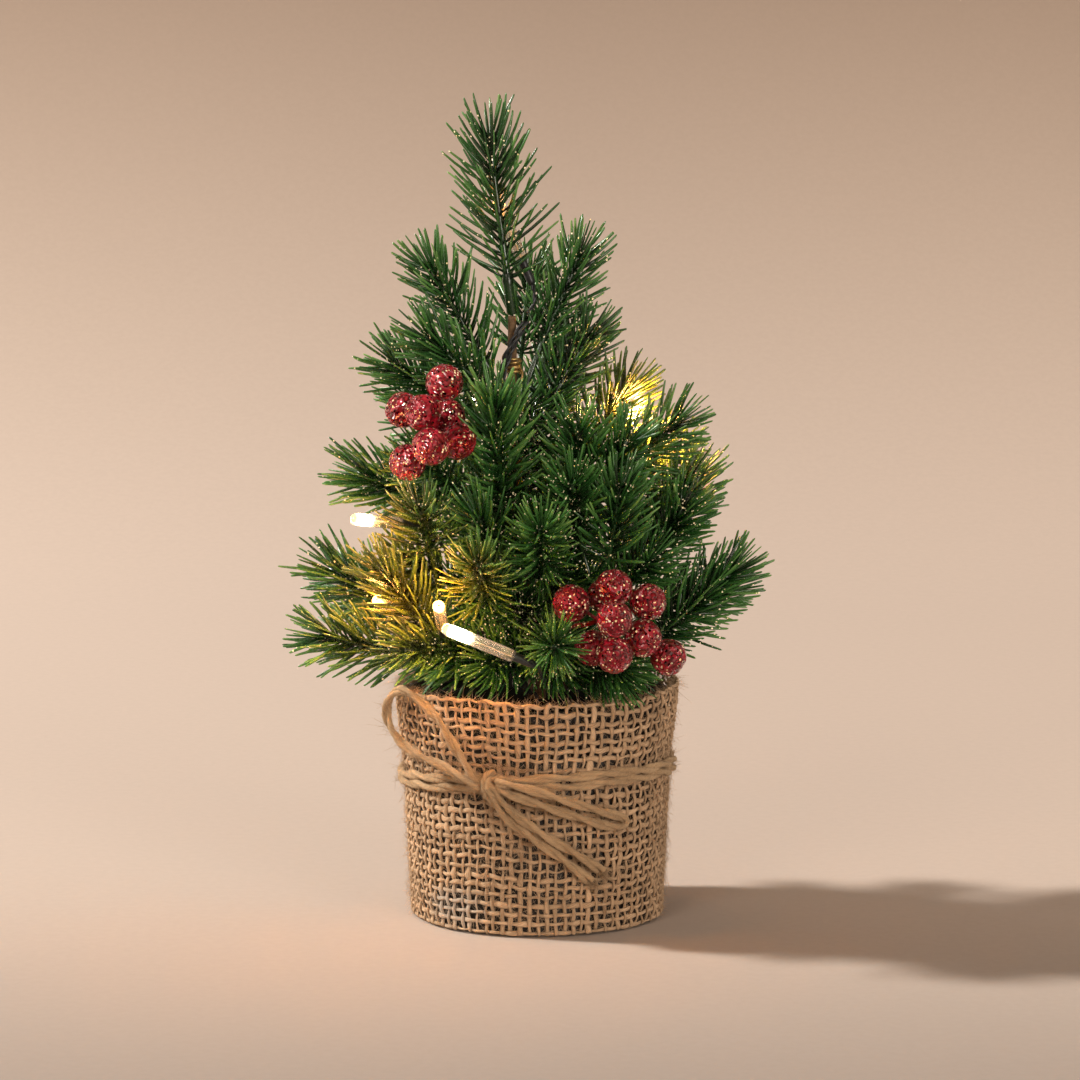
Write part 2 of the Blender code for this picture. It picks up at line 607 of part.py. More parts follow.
def build_berry_picks(parts, tools, materials):
    for name, pick in BERRY_PICKS.items():
        hub = over_rim(pick["hub"])
        root = branch_root(pick["root_height"], hub)
        middle = root.lerp(hub, 0.5) - Vector((0.0, 0.0, 0.002))
        stem = add_tube(name, smooth_path([root, middle, hub], 3), BERRY_STEM_RADIUS,
                        materials["berry"], parts, resolution=1, origin=root)
        stem = as_mesh(stem)
        for index, berry in enumerate(pick["berries"]):
            centre = over_rim(berry)
            bm = bmesh.new()
            bmesh.ops.create_uvsphere(bm, u_segments=10, v_segments=7, radius=BERRY_RADIUS)
            bmesh.ops.translate(bm, vec=centre, verts=bm.verts)
            ball = add_object(f"{name}_ball_{index + 1}", mesh_from(name, bm), None, tools)
            combine(stem, ball, "UNION")
            twig = add_tube(f"{name}_twig_{index + 1}", [hub, centre], BERRY_STEM_RADIUS, None, tools, resolution=1)
            combine(stem, as_mesh(twig), "UNION")


def around_pot(angle, stand_off, over_band):
    """A point near the wrap: degrees from the knot, then millimetres off it and over the band."""
    height = BAND_HEIGHT + BAND_TILT + over_band * MM
    turn = math.radians(KNOT_ANGLE + angle)
    radius = wrap_radius(height) + stand_off * MM
    return Vector((radius * math.cos(turn), radius * math.sin(turn), height))


def build_twine(parts, materials):
    """Two turns round the pot that end at the knot, the knot, and the bow."""
    reach = math.degrees((KNOT_SIZE[0] + GAP) / wrap_radius(BAND_HEIGHT)) + 1.2
    sides = 44
    for name, side in (("twine_turn_upper", 1), ("twine_turn_lower", -1)):
        points = []
        for step in range(sides + 1):
            angle = math.radians(KNOT_ANGLE + reach + (360 - 2 * reach) * step / sides)
            height = BAND_HEIGHT - BAND_TILT * math.sin(angle) + side * (TWINE_DIAMETER + GAP) / 2
            radius = wrap_radius(height) + 2 * GAP + TWINE_DIAMETER / 2
            points.append((radius * math.cos(angle), radius * math.sin(angle), height))
        add_tube(name, points, TWINE_DIAMETER / 2, materials["twine"], parts)
    bm = bmesh.new()
    bmesh.ops.create_uvsphere(bm, u_segments=12, v_segments=8, radius=1.0)
    bmesh.ops.scale(bm, vec=(KNOT_SIZE[1], KNOT_SIZE[0], KNOT_SIZE[2]), verts=bm.verts)
    knot = add_object("twine_knot", mesh_from("twine_knot", bm), materials["twine"], parts)
    knot.location = around_pot(0, (KNOT_SIZE[1] + 2 * GAP) / MM, 0)
    knot.rotation_euler = (0.0, 0.0, math.radians(KNOT_ANGLE))
    shade(knot)
    cords = (("bow_loop_left", BOW_LOOP_LEFT), ("bow_loop_right", BOW_LOOP_RIGHT),
             ("bow_tail_upper", BOW_TAIL_UPPER), ("bow_tail_lower", BOW_TAIL_LOWER))
    for name, route in cords:
        path = smooth_path([around_pot(*point) for point in route], 2)
        add_tube(name, path, TWINE_DIAMETER / 2, materials["twine"], parts)


def make_materials():
    finishes = {
        "pot": ((0.03, 0.028, 0.026), 0.55), "burlap": ((0.52, 0.38, 0.22), 0.95),
        "base": ((0.04, 0.04, 0.04), 0.5), "cell": ((0.55, 0.42, 0.12), 0.35),
        "contact": ((0.75, 0.75, 0.72), 0.25, 1.0), "switch": ((0.05, 0.05, 0.05), 0.4),
        "board": ((0.05, 0.22, 0.10), 0.5), "knob": ((0.7, 0.7, 0.68), 0.5),
        "ballast": ((0.42, 0.41, 0.39), 0.95), "foam": ((0.03, 0.04, 0.025), 0.95),
        "trunk": ((0.22, 0.13, 0.07), 0.85), "wire": ((0.55, 0.36, 0.14), 0.6),
        "needles": ((0.03, 0.16, 0.06), 0.5), "cable": ((0.01, 0.01, 0.012), 0.4),
        "lamp": ((0.95, 0.80, 0.50), 0.15), "berry": ((0.40, 0.01, 0.03), 0.25),
        "twine": ((0.46, 0.31, 0.17), 0.95),
    }
    return {name: make_material(name, *finish) for name, finish in finishes.items()}


def main():
    clear_scene()
    parts = new_collection("tabletop_tree")
    tools = new_collection("cutters")
    tools.hide_render = True
    materials = make_materials()
    build_pot(parts, materials)
    build_base_plate(parts, tools, materials)
    build_battery_door(parts, materials)
    build_cells(parts, materials)
    build_switch(parts, materials)
    build_fillings(parts, tools, materials)
    build_trunk(parts, materials)
    build_branches(parts, materials)
    build_cable(parts, materials)
    build_lamps(parts, materials)
    build_berry_picks(parts, tools, materials)
    build_twine(parts, materials)


main()
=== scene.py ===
import json
import math

import bpy
import numpy as np
from mathutils import Matrix, Vector

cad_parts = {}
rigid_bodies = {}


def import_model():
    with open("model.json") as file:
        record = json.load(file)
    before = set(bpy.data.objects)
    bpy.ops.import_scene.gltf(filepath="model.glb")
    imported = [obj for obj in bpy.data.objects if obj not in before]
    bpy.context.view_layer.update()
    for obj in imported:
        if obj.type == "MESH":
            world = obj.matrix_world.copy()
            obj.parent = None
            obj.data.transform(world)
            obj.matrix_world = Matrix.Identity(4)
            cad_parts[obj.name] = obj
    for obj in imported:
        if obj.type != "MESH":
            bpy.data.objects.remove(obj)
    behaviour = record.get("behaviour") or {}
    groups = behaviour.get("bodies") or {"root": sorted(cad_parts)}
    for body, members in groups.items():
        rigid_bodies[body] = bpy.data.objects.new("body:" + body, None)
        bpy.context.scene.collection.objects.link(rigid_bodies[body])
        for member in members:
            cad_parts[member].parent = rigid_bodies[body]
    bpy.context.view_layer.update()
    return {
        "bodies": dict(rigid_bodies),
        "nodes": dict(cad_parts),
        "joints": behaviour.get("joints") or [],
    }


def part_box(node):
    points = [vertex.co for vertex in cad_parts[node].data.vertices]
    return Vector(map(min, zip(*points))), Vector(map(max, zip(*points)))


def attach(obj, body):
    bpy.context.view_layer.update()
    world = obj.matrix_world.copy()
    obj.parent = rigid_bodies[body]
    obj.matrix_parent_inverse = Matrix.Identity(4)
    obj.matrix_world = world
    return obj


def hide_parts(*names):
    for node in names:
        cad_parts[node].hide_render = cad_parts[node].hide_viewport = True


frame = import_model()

chance = np.random.default_rng(24)
mm = 0.001
print("frame loaded:", len(frame["nodes"]), "nodes")


# ---- small helpers

def deselectAll():
    if bpy.context.mode != "OBJECT":
        bpy.ops.object.mode_set(mode="OBJECT")
    bpy.ops.object.select_all(action="DESELECT")


def unit(vectors):
    lengths = np.linalg.norm(vectors, axis=-1, keepdims=True)
    return vectors / np.maximum(lengths, 1e-12)


def smoothPath(points, steps):
    # a smooth open curve through the points, with steps pieces between two
    pts = [np.array(p, float) for p in points]
    ends = [2 * pts[0] - pts[1]] + pts + [2 * pts[-1] - pts[-2]]
    path = []
    for a, b, c, d in zip(ends, ends[1:], ends[2:], ends[3:]):
        for step in range(steps):
            t = step / steps
            path.append(0.5 * (2 * b + (c - a) * t + (2 * a - 5 * b + 4 * c - d) * t * t
                               + (3 * b - a - 3 * c + d) * t ** 3))
    return np.array(path + [pts[-1]])


def evenPath(path, spacing):
    # the same line with points a fixed distance apart
    path = np.asarray(path, float)
    run = np.concatenate([[0], np.cumsum(np.linalg.norm(np.diff(path, axis=0), axis=1))])
    count = max(int(round(run[-1] / spacing)), 3) + 1
    wanted = np.linspace(0, run[-1], count)
    return np.stack([np.interp(wanted, run, path[:, axis]) for axis in range(3)], axis=1)


def pathLength(path):
    return float(np.linalg.norm(np.diff(np.asarray(path, float), axis=0), axis=1).sum())


def carriedSideways(path):
    # a direction across the path that turns as little as it can on the way
    tangents = unit(np.gradient(path, axis=0))
    start = np.array([0.0, 0.0, 1.0]) if abs(tangents[0][2]) < 0.9 else np.array([1.0, 0.0, 0.0])
    across = [unit(start - tangents[0] * (start @ tangents[0]))]
    for tangent in tangents[1:]:
        last = across[-1]
        across.append(unit(last - tangent * (last @ tangent)))
    return np.array(across)


def newStore():
    return {"verts": [], "quads": [], "tris": [], "quadUv": [], "triUv": [], "tone": [], "reach": [], "count": 0}


def addTubes(store, points, wide, high=None, sides=6, sideways=None, tone=0.5, reach=None):
    # many tubes at once: points is tube by point by xyz, wide and high are half sizes
    points = np.asarray(points, float)
    tubes, count = points.shape[:2]
    wide = np.broadcast_to(np.asarray(wide, float), (tubes, count))
    high = wide if high is None else np.broadcast_to(np.asarray(high, float), (tubes, count))
    tangents = unit(np.gradient(points, axis=1))
    if sideways is None:
        sideways = np.stack([carriedSideways(path) for path in points])
    across = unit(sideways - tangents * (sideways * tangents).sum(-1, keepdims=True))
    upward = np.cross(tangents, across)
    angles = 2 * math.pi * np.arange(sides) / sides
    rings = (points[:, :, None] + wide[:, :, None, None] * np.cos(angles)[None, None, :, None] * across[:, :, None]
             + high[:, :, None, None] * np.sin(angles)[None, None, :, None] * upward[:, :, None])
    body = rings.reshape(tubes, count * sides, 3)
    store["verts"].append(np.concatenate([body, points[:, :1], points[:, -1:]], axis=1).reshape(-1, 3))
    size = count * sides + 2
    first = store["count"] + size * np.arange(tubes)
    ring = np.arange(count - 1)[:, None] * sides
    here, after = np.arange(sides)[None, :], (np.arange(sides)[None, :] + 1) % sides
    quads = np.stack([ring + here, ring + after, ring + sides + after, ring + sides + here], axis=-1)
    store["quads"].append((first[:, None, None, None] + quads[None]).reshape(-1, 4))
    last = (count - 1) * sides
    here, after = here[0], after[0]
    startCap = np.stack([np.full(sides, count * sides), after, here], axis=-1)
    endCap = np.stack([np.full(sides, count * sides + 1), last + here, last + after], axis=-1)
    caps = np.concatenate([startCap, endCap])
    store["tris"].append((first[:, None, None] + caps[None]).reshape(-1, 3))
    run = np.concatenate([np.zeros((tubes, 1)), np.cumsum(np.linalg.norm(np.diff(points, axis=1), axis=2), 1)], 1)
    around = np.arange(sides + 1) / sides
    uv = np.zeros((tubes, count - 1, sides, 4, 2))
    uv[..., 0, 0] = uv[..., 1, 0] = run[:, :-1, None]
    uv[..., 2, 0] = uv[..., 3, 0] = run[:, 1:, None]
    uv[..., 0, 1] = uv[..., 3, 1] = around[:-1]
    uv[..., 1, 1] = uv[..., 2, 1] = around[1:]
    store["quadUv"].append(uv.reshape(-1, 2))
    capUv = np.zeros((tubes, 2, sides, 3, 2))
    capUv[:, 1, :, :, 0] = run[:, -1][:, None, None]
    store["triUv"].append(capUv.reshape(-1, 2))
    tone = np.broadcast_to(np.asarray(tone, float).reshape(-1, 1), (tubes, size))
    store["tone"].append(tone.reshape(-1))
    share = np.broadcast_to(np.linspace(0, 1, count) if reach is None else reach, (tubes, count))
    share = np.repeat(share, sides, axis=1)
    store["reach"].append(np.concatenate([share, share[:, :1], share[:, -1:]], axis=1).reshape(-1))
    store["count"] += size * tubes


def storeObject(store, name, material, smooth=True):
    verts = np.concatenate(store["verts"])
    quads, tris = np.concatenate(store["quads"]), np.concatenate(store["tris"])
    loops = np.concatenate([quads.ravel(), tris.ravel()])
    starts = np.concatenate([4 * np.arange(len(quads)), 4 * len(quads) + 3 * np.arange(len(tris))])
    mesh = bpy.data.meshes.new(name)
    mesh.vertices.add(len(verts))
    mesh.vertices.foreach_set("co", verts.astype(np.float32).ravel())
    mesh.loops.add(len(loops))
    mesh.loops.foreach_set("vertex_index", loops.astype(np.int32))
    mesh.polygons.add(len(starts))
    mesh.polygons.foreach_set("loop_start", starts.astype(np.int32))
    mesh.update(calc_edges=True)
    mesh.validate()
    uvLayer = mesh.uv_layers.new(name="strand")
    uvLayer.data.foreach_set("uv", np.concatenate(store["quadUv"] + store["triUv"]).astype(np.float32).ravel())
    for attribute in ("tone", "reach"):
        layer = mesh.attributes.new(attribute, "FLOAT", "POINT")
        layer.data.foreach_set("value", np.concatenate(store[attribute]).astype(np.float32))
    if smooth:
        mesh.shade_smooth()
    piece = bpy.data.objects.new(name, mesh)
    bpy.context.scene.collection.objects.link(piece)
    mesh.materials.append(material)
    return piece


# ---- material helpers

def newMaterial(name, colour, roughness=0.5, metallic=0.0, **sockets):
    material = bpy.data.materials.new(name)
    material.use_nodes = True
    tree = material.node_tree
    shader = tree.nodes["Principled BSDF"]
    shader.inputs["Base Color"].default_value = (*colour, 1)
    shader.inputs["Roughness"].default_value = roughness
    shader.inputs["Metallic"].default_value = metallic
    for socket, value in sockets.items():
        shader.inputs[socket.replace("_", " ")].default_value = value
    return material, tree, shader


def addNode(tree, kind, links=(), **values):
    # a node with its settings, and links given as (socket, other node, its socket)
    node = tree.nodes.new(kind)
    for key, value in values.items():
        if hasattr(node, key):
            setattr(node, key, value)
        else:
            node.inputs[key.replace("_", " ")].default_value = value
    for socket, other, output in links:
        tree.links.new(other.outputs[output], node.inputs[socket])
    return node


def colourRamp(tree, source, output, stops):
    ramp = tree.nodes.new("ShaderNodeValToRGB")
    tree.links.new(source.outputs[output], ramp.inputs["Fac"])
    elements = ramp.color_ramp.elements
    while len(elements) < len(stops):
        elements.new(0.5)
    for element, (place, colour) in zip(elements, stops):
        element.position = place
        element.color = (*colour, 1)
    return ramp


def mixColours(tree, kind, factor, first, second):
    mix = tree.nodes.new("ShaderNodeMix")
    mix.data_type = "RGBA"
    mix.blend_type = kind
    if isinstance(factor, float):
        mix.inputs[0].default_value = factor
    else:
        tree.links.new(factor, mix.inputs[0])
    for socket, value in ((6, first), (7, second)):
        if isinstance(value, tuple):
            mix.inputs[socket].default_value = (*value, 1)
        else:
            tree.links.new(value, mix.inputs[socket])
    return mix.outputs[2]


def maths(tree, operation, *values):
    node = tree.nodes.new("ShaderNodeMath")
    node.operation = operation
    for index, value in enumerate(values):
        if isinstance(value, (int, float)):
            node.inputs[index].default_value = value
        else:
            tree.links.new(value, node.inputs[index])
    return node.outputs[0]


def objectCoords(tree):
    return addNode(tree, "ShaderNodeTexCoord")


def addNoise(tree, coords, output, scale, detail=4.0, roughness=0.55, stretch=None):
    source, socket = coords, output
    if stretch:
        source = addNode(tree, "ShaderNodeMapping", [("Vector", coords, output)])
        source.inputs["Scale"].default_value = stretch
        socket = "Vector"
    noise = addNode(tree, "ShaderNodeTexNoise", [("Vector", source, socket)])
    noise.inputs["Scale"].default_value = scale
    noise.inputs["Detail"].default_value = detail
    noise.inputs["Roughness"].default_value = roughness
    return noise


def addBump(tree, shader, height, strength, distance):
    bump = tree.nodes.new("ShaderNodeBump")
    bump.inputs["Strength"].default_value = strength
    bump.inputs["Distance"].default_value = distance
    tree.links.new(height, bump.inputs["Height"])
    tree.links.new(bump.outputs["Normal"], shader.inputs["Normal"])


def glitterMask(tree, coords, scale, share, patchScale=None):
    # small round flakes: one in so many cells holds one
    cells = addNode(tree, "ShaderNodeTexVoronoi", [("Vector", coords, "Object")])
    cells.inputs["Scale"].default_value = scale
    near = maths(tree, "LESS_THAN", cells.outputs["Distance"], 0.42)
    split = addNode(tree, "ShaderNodeSeparateColor", [("Color", cells, "Color")])
    picked = maths(tree, "GREATER_THAN", split.outputs["Red"], 1 - share)
    mask = maths(tree, "MULTIPLY", near, picked)
    if patchScale:
        patches = addNoise(tree, coords, "Object", patchScale, 2.0)
        lifted = maths(tree, "GREATER_THAN", patches.outputs["Fac"], 0.47)
        mask = maths(tree, "MULTIPLY", mask, lifted)
    return mask, split.outputs["Green"]


# ---- camera, floor and lights

view = {"place": (0.0012, -1.60, 0.358), "tilt": 82.5, "lens": 137.67, "sensor": 36.0}


def makeCamera():
    deselectAll()
    bpy.ops.object.camera_add(location=view["place"], rotation=(math.radians(view["tilt"]), 0, 0))
    camera = bpy.context.object
    camera.name = "camera"
    camera.data.lens = view["lens"]
    camera.data.sensor_width = view["sensor"]
    camera.data.clip_start, camera.data.clip_end = 0.05, 30
    bpy.context.scene.camera = camera


# near, high and right hold painted light and shade on the paper: darker towards the viewer and up the wall, brighter to
# the right
backdrop = {
    "near": (-0.42, 0.10, 0.54, 1.0), "high": (0.0, 0.36, 1.0, 0.60), "right": (0.02, 0.36, 1.0, 1.10), "width": 9.0, "front": -6.0, "back": 1.7, "height": 4.2, "bend": 0.9,
    "colour": (0.462, 0.378, 0.322),
}


def makeBackdrop():
    # floor that sweeps up into the wall behind
    deselectAll()
    middle = (backdrop["front"] + backdrop["back"]) / 2
    bpy.ops.mesh.primitive_plane_add(size=1, location=(0, middle, -0.0001))
    floor = bpy.context.object
    floor.name = "floor"
    floor.scale = (backdrop["width"], backdrop["back"] - backdrop["front"], 1)
    bpy.ops.object.transform_apply(location=True, rotation=True, scale=True)
    bpy.ops.object.mode_set(mode="EDIT")
    bpy.ops.mesh.select_all(action="DESELECT")
    bpy.ops.object.mode_set(mode="OBJECT")
    for edge in floor.data.edges:
        edge.select = all(floor.data.vertices[v].co.y > backdrop["back"] - 0.01 for v in edge.vertices)
    bpy.ops.object.mode_set(mode="EDIT")
    bpy.ops.mesh.select_mode(type="EDGE")
    bpy.ops.mesh.extrude_region_move(TRANSFORM_OT_translate={"value": (0, 0, backdrop["height"])})
    bpy.ops.object.mode_set(mode="OBJECT")
    for edge in floor.data.edges:
        ends = [floor.data.vertices[v].co for v in edge.vertices]
        edge.select = all(end.y > backdrop["back"] - 0.01 and end.z < 0.01 for end in ends)
    bpy.ops.object.mode_set(mode="EDIT")
    bpy.ops.mesh.bevel(offset=backdrop["bend"], segments=24, affect="EDGES")
    bpy.ops.object.mode_set(mode="OBJECT")
    floor.data.shade_smooth()
    material, tree, shader = newMaterial("paperBackdrop", backdrop["colour"], 0.9)
    coords = objectCoords(tree)
    grain = addNoise(tree, coords, "Object", 260.0, 3.0)
    light, dark = backdrop["colour"], tuple(0.97 * part for part in backdrop["colour"])
    ramp = colourRamp(tree, grain, "Fac", [(0.35, dark), (0.65, light)])
    # painted shade and light: the paper is darker towards the viewer and up the wall, where green and blue fall off
    # faster for a warmer painted tint, and brighter to the right
    split = addNode(tree, "ShaderNodeSeparateXYZ", [("Vector", coords, "Object")])
    depth = addNode(tree, "ShaderNodeMapRange", interpolation_type="SMOOTHSTEP")
    paintedShadeUpWall = addNode(tree, "ShaderNodeMapRange")
    paintedLightToRight = addNode(tree, "ShaderNodeMapRange")
    for node, axis, values in ((depth, "Y", backdrop["near"]), (paintedShadeUpWall, "Z", backdrop["high"]),
                               (paintedLightToRight, "X", backdrop["right"])):
        tree.links.new(split.outputs[axis], node.inputs["Value"])
        for key, value in zip(("From Min", "From Max", "To Min", "To Max"), values):
            node.inputs[key].default_value = value
    shade = addNode(tree, "ShaderNodeCombineColor")
    for socket, power in (("Red", 1.0), ("Green", 1.2), ("Blue", 1.42)):
        paintedWarmthUpWall = maths(tree, "POWER", paintedShadeUpWall.outputs["Result"], power)
        flat = maths(tree, "MULTIPLY", depth.outputs["Result"], paintedLightToRight.outputs["Result"])
        tree.links.new(maths(tree, "MULTIPLY", flat, paintedWarmthUpWall), shade.inputs[socket])
    tree.links.new(mixColours(tree, "MULTIPLY", 1.0, ramp.outputs["Color"], shade.outputs["Color"]),
                   shader.inputs["Base Color"])
    floor.data.materials.append(material)


lights = {
    "key": {"place": (-3.10, 0.56, 2.44), "size": 0.36, "power": 262.0, "colour": (1.0, 0.955, 0.89)},
    "front": {"place": (1.35, -2.0, 0.42), "size": 0.9, "power": 28.0, "colour": (1.0, 0.90, 0.80)},
    "fill": {"place": (-0.9, -1.9, 1.3), "size": 1.0, "power": 13.0, "colour": (1.0, 0.86, 0.72)},
    "rear": {"place": (1.5, 1.0, 1.4), "size": 1.4, "power": 5.0, "colour": (1.0, 0.86, 0.72)},
}


def makeLights():
    for name, light in lights.items():
        deselectAll()
        aim = Vector((0, 0, 0.15)) - Vector(light["place"])
        bpy.ops.object.light_add(type="AREA", location=light["place"], rotation=aim.to_track_quat("-Z", "Y").to_euler())
        lamp = bpy.context.object
        lamp.name = name + "_light"
        lamp.data.shape = "DISK"
        lamp.data.size = light["size"]
        lamp.data.energy = light["power"]
        lamp.data.color = light["colour"]
    world = bpy.data.worlds.new("studio")
    world.use_nodes = True
    world.node_tree.nodes["Background"].inputs["Color"].default_value = (1.0, 0.82, 0.66, 1)
    world.node_tree.nodes["Background"].inputs["Strength"].default_value = 0.26
    bpy.context.scene.world = world
    bpy.context.scene.view_settings.view_transform = "Standard"


makeCamera()
makeBackdrop()
makeLights()
print("camera, backdrop and lights")


# ---- the pot's outside, read from the CAD wrap

def wrapProfile():
    # radius of the burlap's outside at its bottom and top edge
    verts = np.array([v.co for v in frame["nodes"]["burlap_wrap"].data.vertices])
    radius = np.hypot(verts[:, 0], verts[:, 1])
    low, high = verts[:, 2].min(), verts[:, 2].max()
    return low, radius[verts[:, 2] < low + mm].max(), high, radius[verts[:, 2] > high - mm].max()


wrapLow, wrapLowRadius, wrapHigh, wrapHighRadius = wrapProfile()


def wrapRadius(height):
    return wrapLowRadius + (wrapHighRadius - wrapLowRadius) * (height - wrapLow) / (wrapHigh - wrapLow)


# ---- jute twine: two turns round the pot, the knot and the bow

twine = {
    "diameter": 0.0036, "bandHeight": 0.0572, "bandTilt": 0.0036, "bandRight": 0.0022, "bandRise": 0.0003, "knotAngle": -108,
    "plyRadius": 0.00112, "plyOffset": 0.00082, "lay": 0.034, "spacing": 0.0006,
    "hairs": 5.0, "hairLength": (0.0015, 0.0065), "hairRadius": 0.00006,
}
# degrees round from the knot, then millimetres off the burlap and over the band
bowRoutes = {
    "bow_loop_left": [(-2.5, 5.2, 1.6), (-6, 6.4, 3.4), (-12, 7.0, 12), (-19, 8.5, 24), (-27, 10.5, 32), (-34, 12.5, 34),
                      (-38.5, 14, 29), (-39.5, 14, 22), (-36, 12.5, 15), (-29, 10.5, 10), (-20, 8.5, 7),
                      (-12, 7.0, 3), (-6, 6.3, 0.4), (-2.5, 5.2, -0.8)],
    "bow_loop_right": [(2.5, 5.6, 0.8), (8, 6.6, 0.6), (16, 6.6, -1.4), (29, 6.2, -5.8), (42, 5.6, -10.6),
                       (51, 4.8, -13.6), (55, 4.0, -15.6), (54.5, 3.6, -17.6), (50, 3.8, -18.0),
                       (41, 4.4, -15.4), (29, 4.8, -11.0), (17, 5.4, -6.6), (8, 5.8, -3.4), (3, 5.2, -1.6)],
    "bow_tail_upper": [(0.8, 5.0, -3.2), (12, 5.4, -13), (25, 4.6, -22), (37, 3.6, -29.4), (45.5, 2.8, -35.2)],
    "bow_tail_lower": [(-1.6, 4.8, -3.6), (8.2, 4.6, -14.4), (20.8, 3.8, -23.8), (32, 3.2, -32), (40.5, 2.6, -38.8)],
}


def aroundPot(angle, standOff, overBand):
    height = twine["bandHeight"] + twine["bandTilt"] + overBand * mm
    turn = math.radians(twine["knotAngle"] + angle)
    radius = wrapRadius(height) + standOff * mm
    return np.array([radius * math.cos(turn), radius * math.sin(turn), height])


def juteMaterial(name, dark, light, twistRepeat):
    # dry plant fibre: streaks that run along the strand and a hairy relief
    material, tree, shader = newMaterial(name, light, 0.85, Specular_IOR_Level=0.2, Sheen_Weight=0.35,
                                         Sheen_Roughness=0.5)
    shader.inputs["Sheen Tint"].default_value = (1.0, 0.85, 0.62, 1)
    strand = addNode(tree, "ShaderNodeUVMap", uv_map="strand")
    coords = objectCoords(tree)
    tone = addNode(tree, "ShaderNodeAttribute", attribute_name="tone")
    split = addNode(tree, "ShaderNodeSeparateXYZ", [("Vector", strand, "UV")])
    spiral = addNode(tree, "ShaderNodeCombineXYZ", [("X", split, "X")])
    tree.links.new(maths(tree, "MULTIPLY_ADD", split.outputs["X"], 75.0, split.outputs["Y"]), spiral.inputs["Y"])
    streaks = addNoise(tree, spiral, "Vector", 1.0, 6.0, 0.75, (170.0, twistRepeat * 11, 1.0))
    fibres = addNoise(tree, coords, "Object", 2600.0, 3.0, 0.6)
    patches = addNoise(tree, coords, "Object", 90.0, 2.0)
    shade = maths(tree, "MULTIPLY_ADD", streaks.outputs["Fac"], 1.5, -0.62)
    shade = maths(tree, "ADD", shade, maths(tree, "MULTIPLY", tone.outputs["Fac"], 0.42))
    shade = maths(tree, "ADD", shade, maths(tree, "MULTIPLY_ADD", patches.outputs["Fac"], 0.40, -0.14))
    shadeNode = addNode(tree, "ShaderNodeClamp")
    tree.links.new(shade, shadeNode.inputs["Value"])
    middle = tuple(0.5 * a + 0.5 * b for a, b in zip(dark, light))
    pale = tuple(min(1.0, 1.28 * part) for part in light)
    ramp = colourRamp(tree, shadeNode, "Result", [(0.05, dark), (0.38, middle), (0.68, light), (0.97, pale)])
    tree.links.new(ramp.outputs["Color"], shader.inputs["Base Color"])
    relief = maths(tree, "ADD", streaks.outputs["Fac"], maths(tree, "MULTIPLY", fibres.outputs["Fac"], 0.5))
    addBump(tree, shader, relief, 1.0, 0.0004)
    return material


twineJute = juteMaterial("twineJute", (0.16, 0.085, 0.034), (0.62, 0.41, 0.23), 3.0)


def strandFrames(path):
    across = carriedSideways(path)
    return across, np.cross(unit(np.gradient(path, axis=0)), across)


def addTwine(store, path, opening=None):
    # two plies laid round each other; opening spreads them near a cut end
    path = evenPath(path, twine["spacing"])
    across, upward = strandFrames(path)
    run = np.linspace(0, pathLength(path), len(path))
    for ply in range(2):
        turn = (2 * math.pi * run / twine["lay"] + math.pi * ply)[:, None]
        spread = np.full(len(path), twine["plyOffset"])
        if opening:
            spread = spread * (1 + 0.9 * np.clip((run - run[-1] + opening) / opening, 0, 1) ** 1.5)
        wobble = 1 + 0.07 * np.sin(run * 900 + ply * 2) + 0.06 * np.sin(run * 2300 + ply)
        centre = path + spread[:, None] * (np.cos(turn) * across + np.sin(turn) * upward)
        addTubes(store, [centre], twine["plyRadius"] * wobble, sides=10, tone=0.5 + 0.12 * ply)
    return path


def addHairs(store, roots, outward, along, lengths, radius, curl=0.6, tone=0.7):
    # thin bent fibres, many at once
    count = len(roots)
    share = np.linspace(0, 1, 4)[None, :, None]
    side = unit(np.cross(outward, along) + 1e-6)
    swing = chance.normal(0, curl, (count, 1, 1))
    start = unit(0.55 * outward + along * chance.normal(0, 0.8, (count, 1)) + side * chance.normal(0, 0.5, (count, 1)))
    points = roots[:, None] + lengths[:, None, None] * (
        share * start[:, None] + share ** 2 * swing * side[:, None]
        - 0.35 * share ** 2 * outward[:, None] * np.abs(swing))
    points[..., 2] = np.maximum(points[..., 2], 0.0003)
    thin = radius * np.array([1.0, 0.9, 0.75, 0.3])[None, :] * chance.uniform(0.7, 1.3, (count, 1))
    addTubes(store, points, thin, sides=3, sideways=np.repeat(side[:, None], 4, axis=1) + 0.01,
             tone=tone + chance.uniform(-0.25, 0.25, count))


def twineFuzz(store, path, hairsPerMm):
    across, upward = strandFrames(path)
    count = int(hairsPerMm * pathLength(path) / mm)
    pick = chance.integers(0, len(path), count)
    angle = chance.uniform(0, 2 * math.pi, count)[:, None]
    outward = np.cos(angle) * across[pick] + np.sin(angle) * upward[pick]
    along = unit(np.gradient(path, axis=0))[pick]
    lengths = chance.uniform(*twine["hairLength"], count) * chance.uniform(0.4, 1.0, count)
    roots = path[pick] + outward * twine["diameter"] * 0.40
    addHairs(store, roots, outward, along, lengths, twine["hairRadius"])


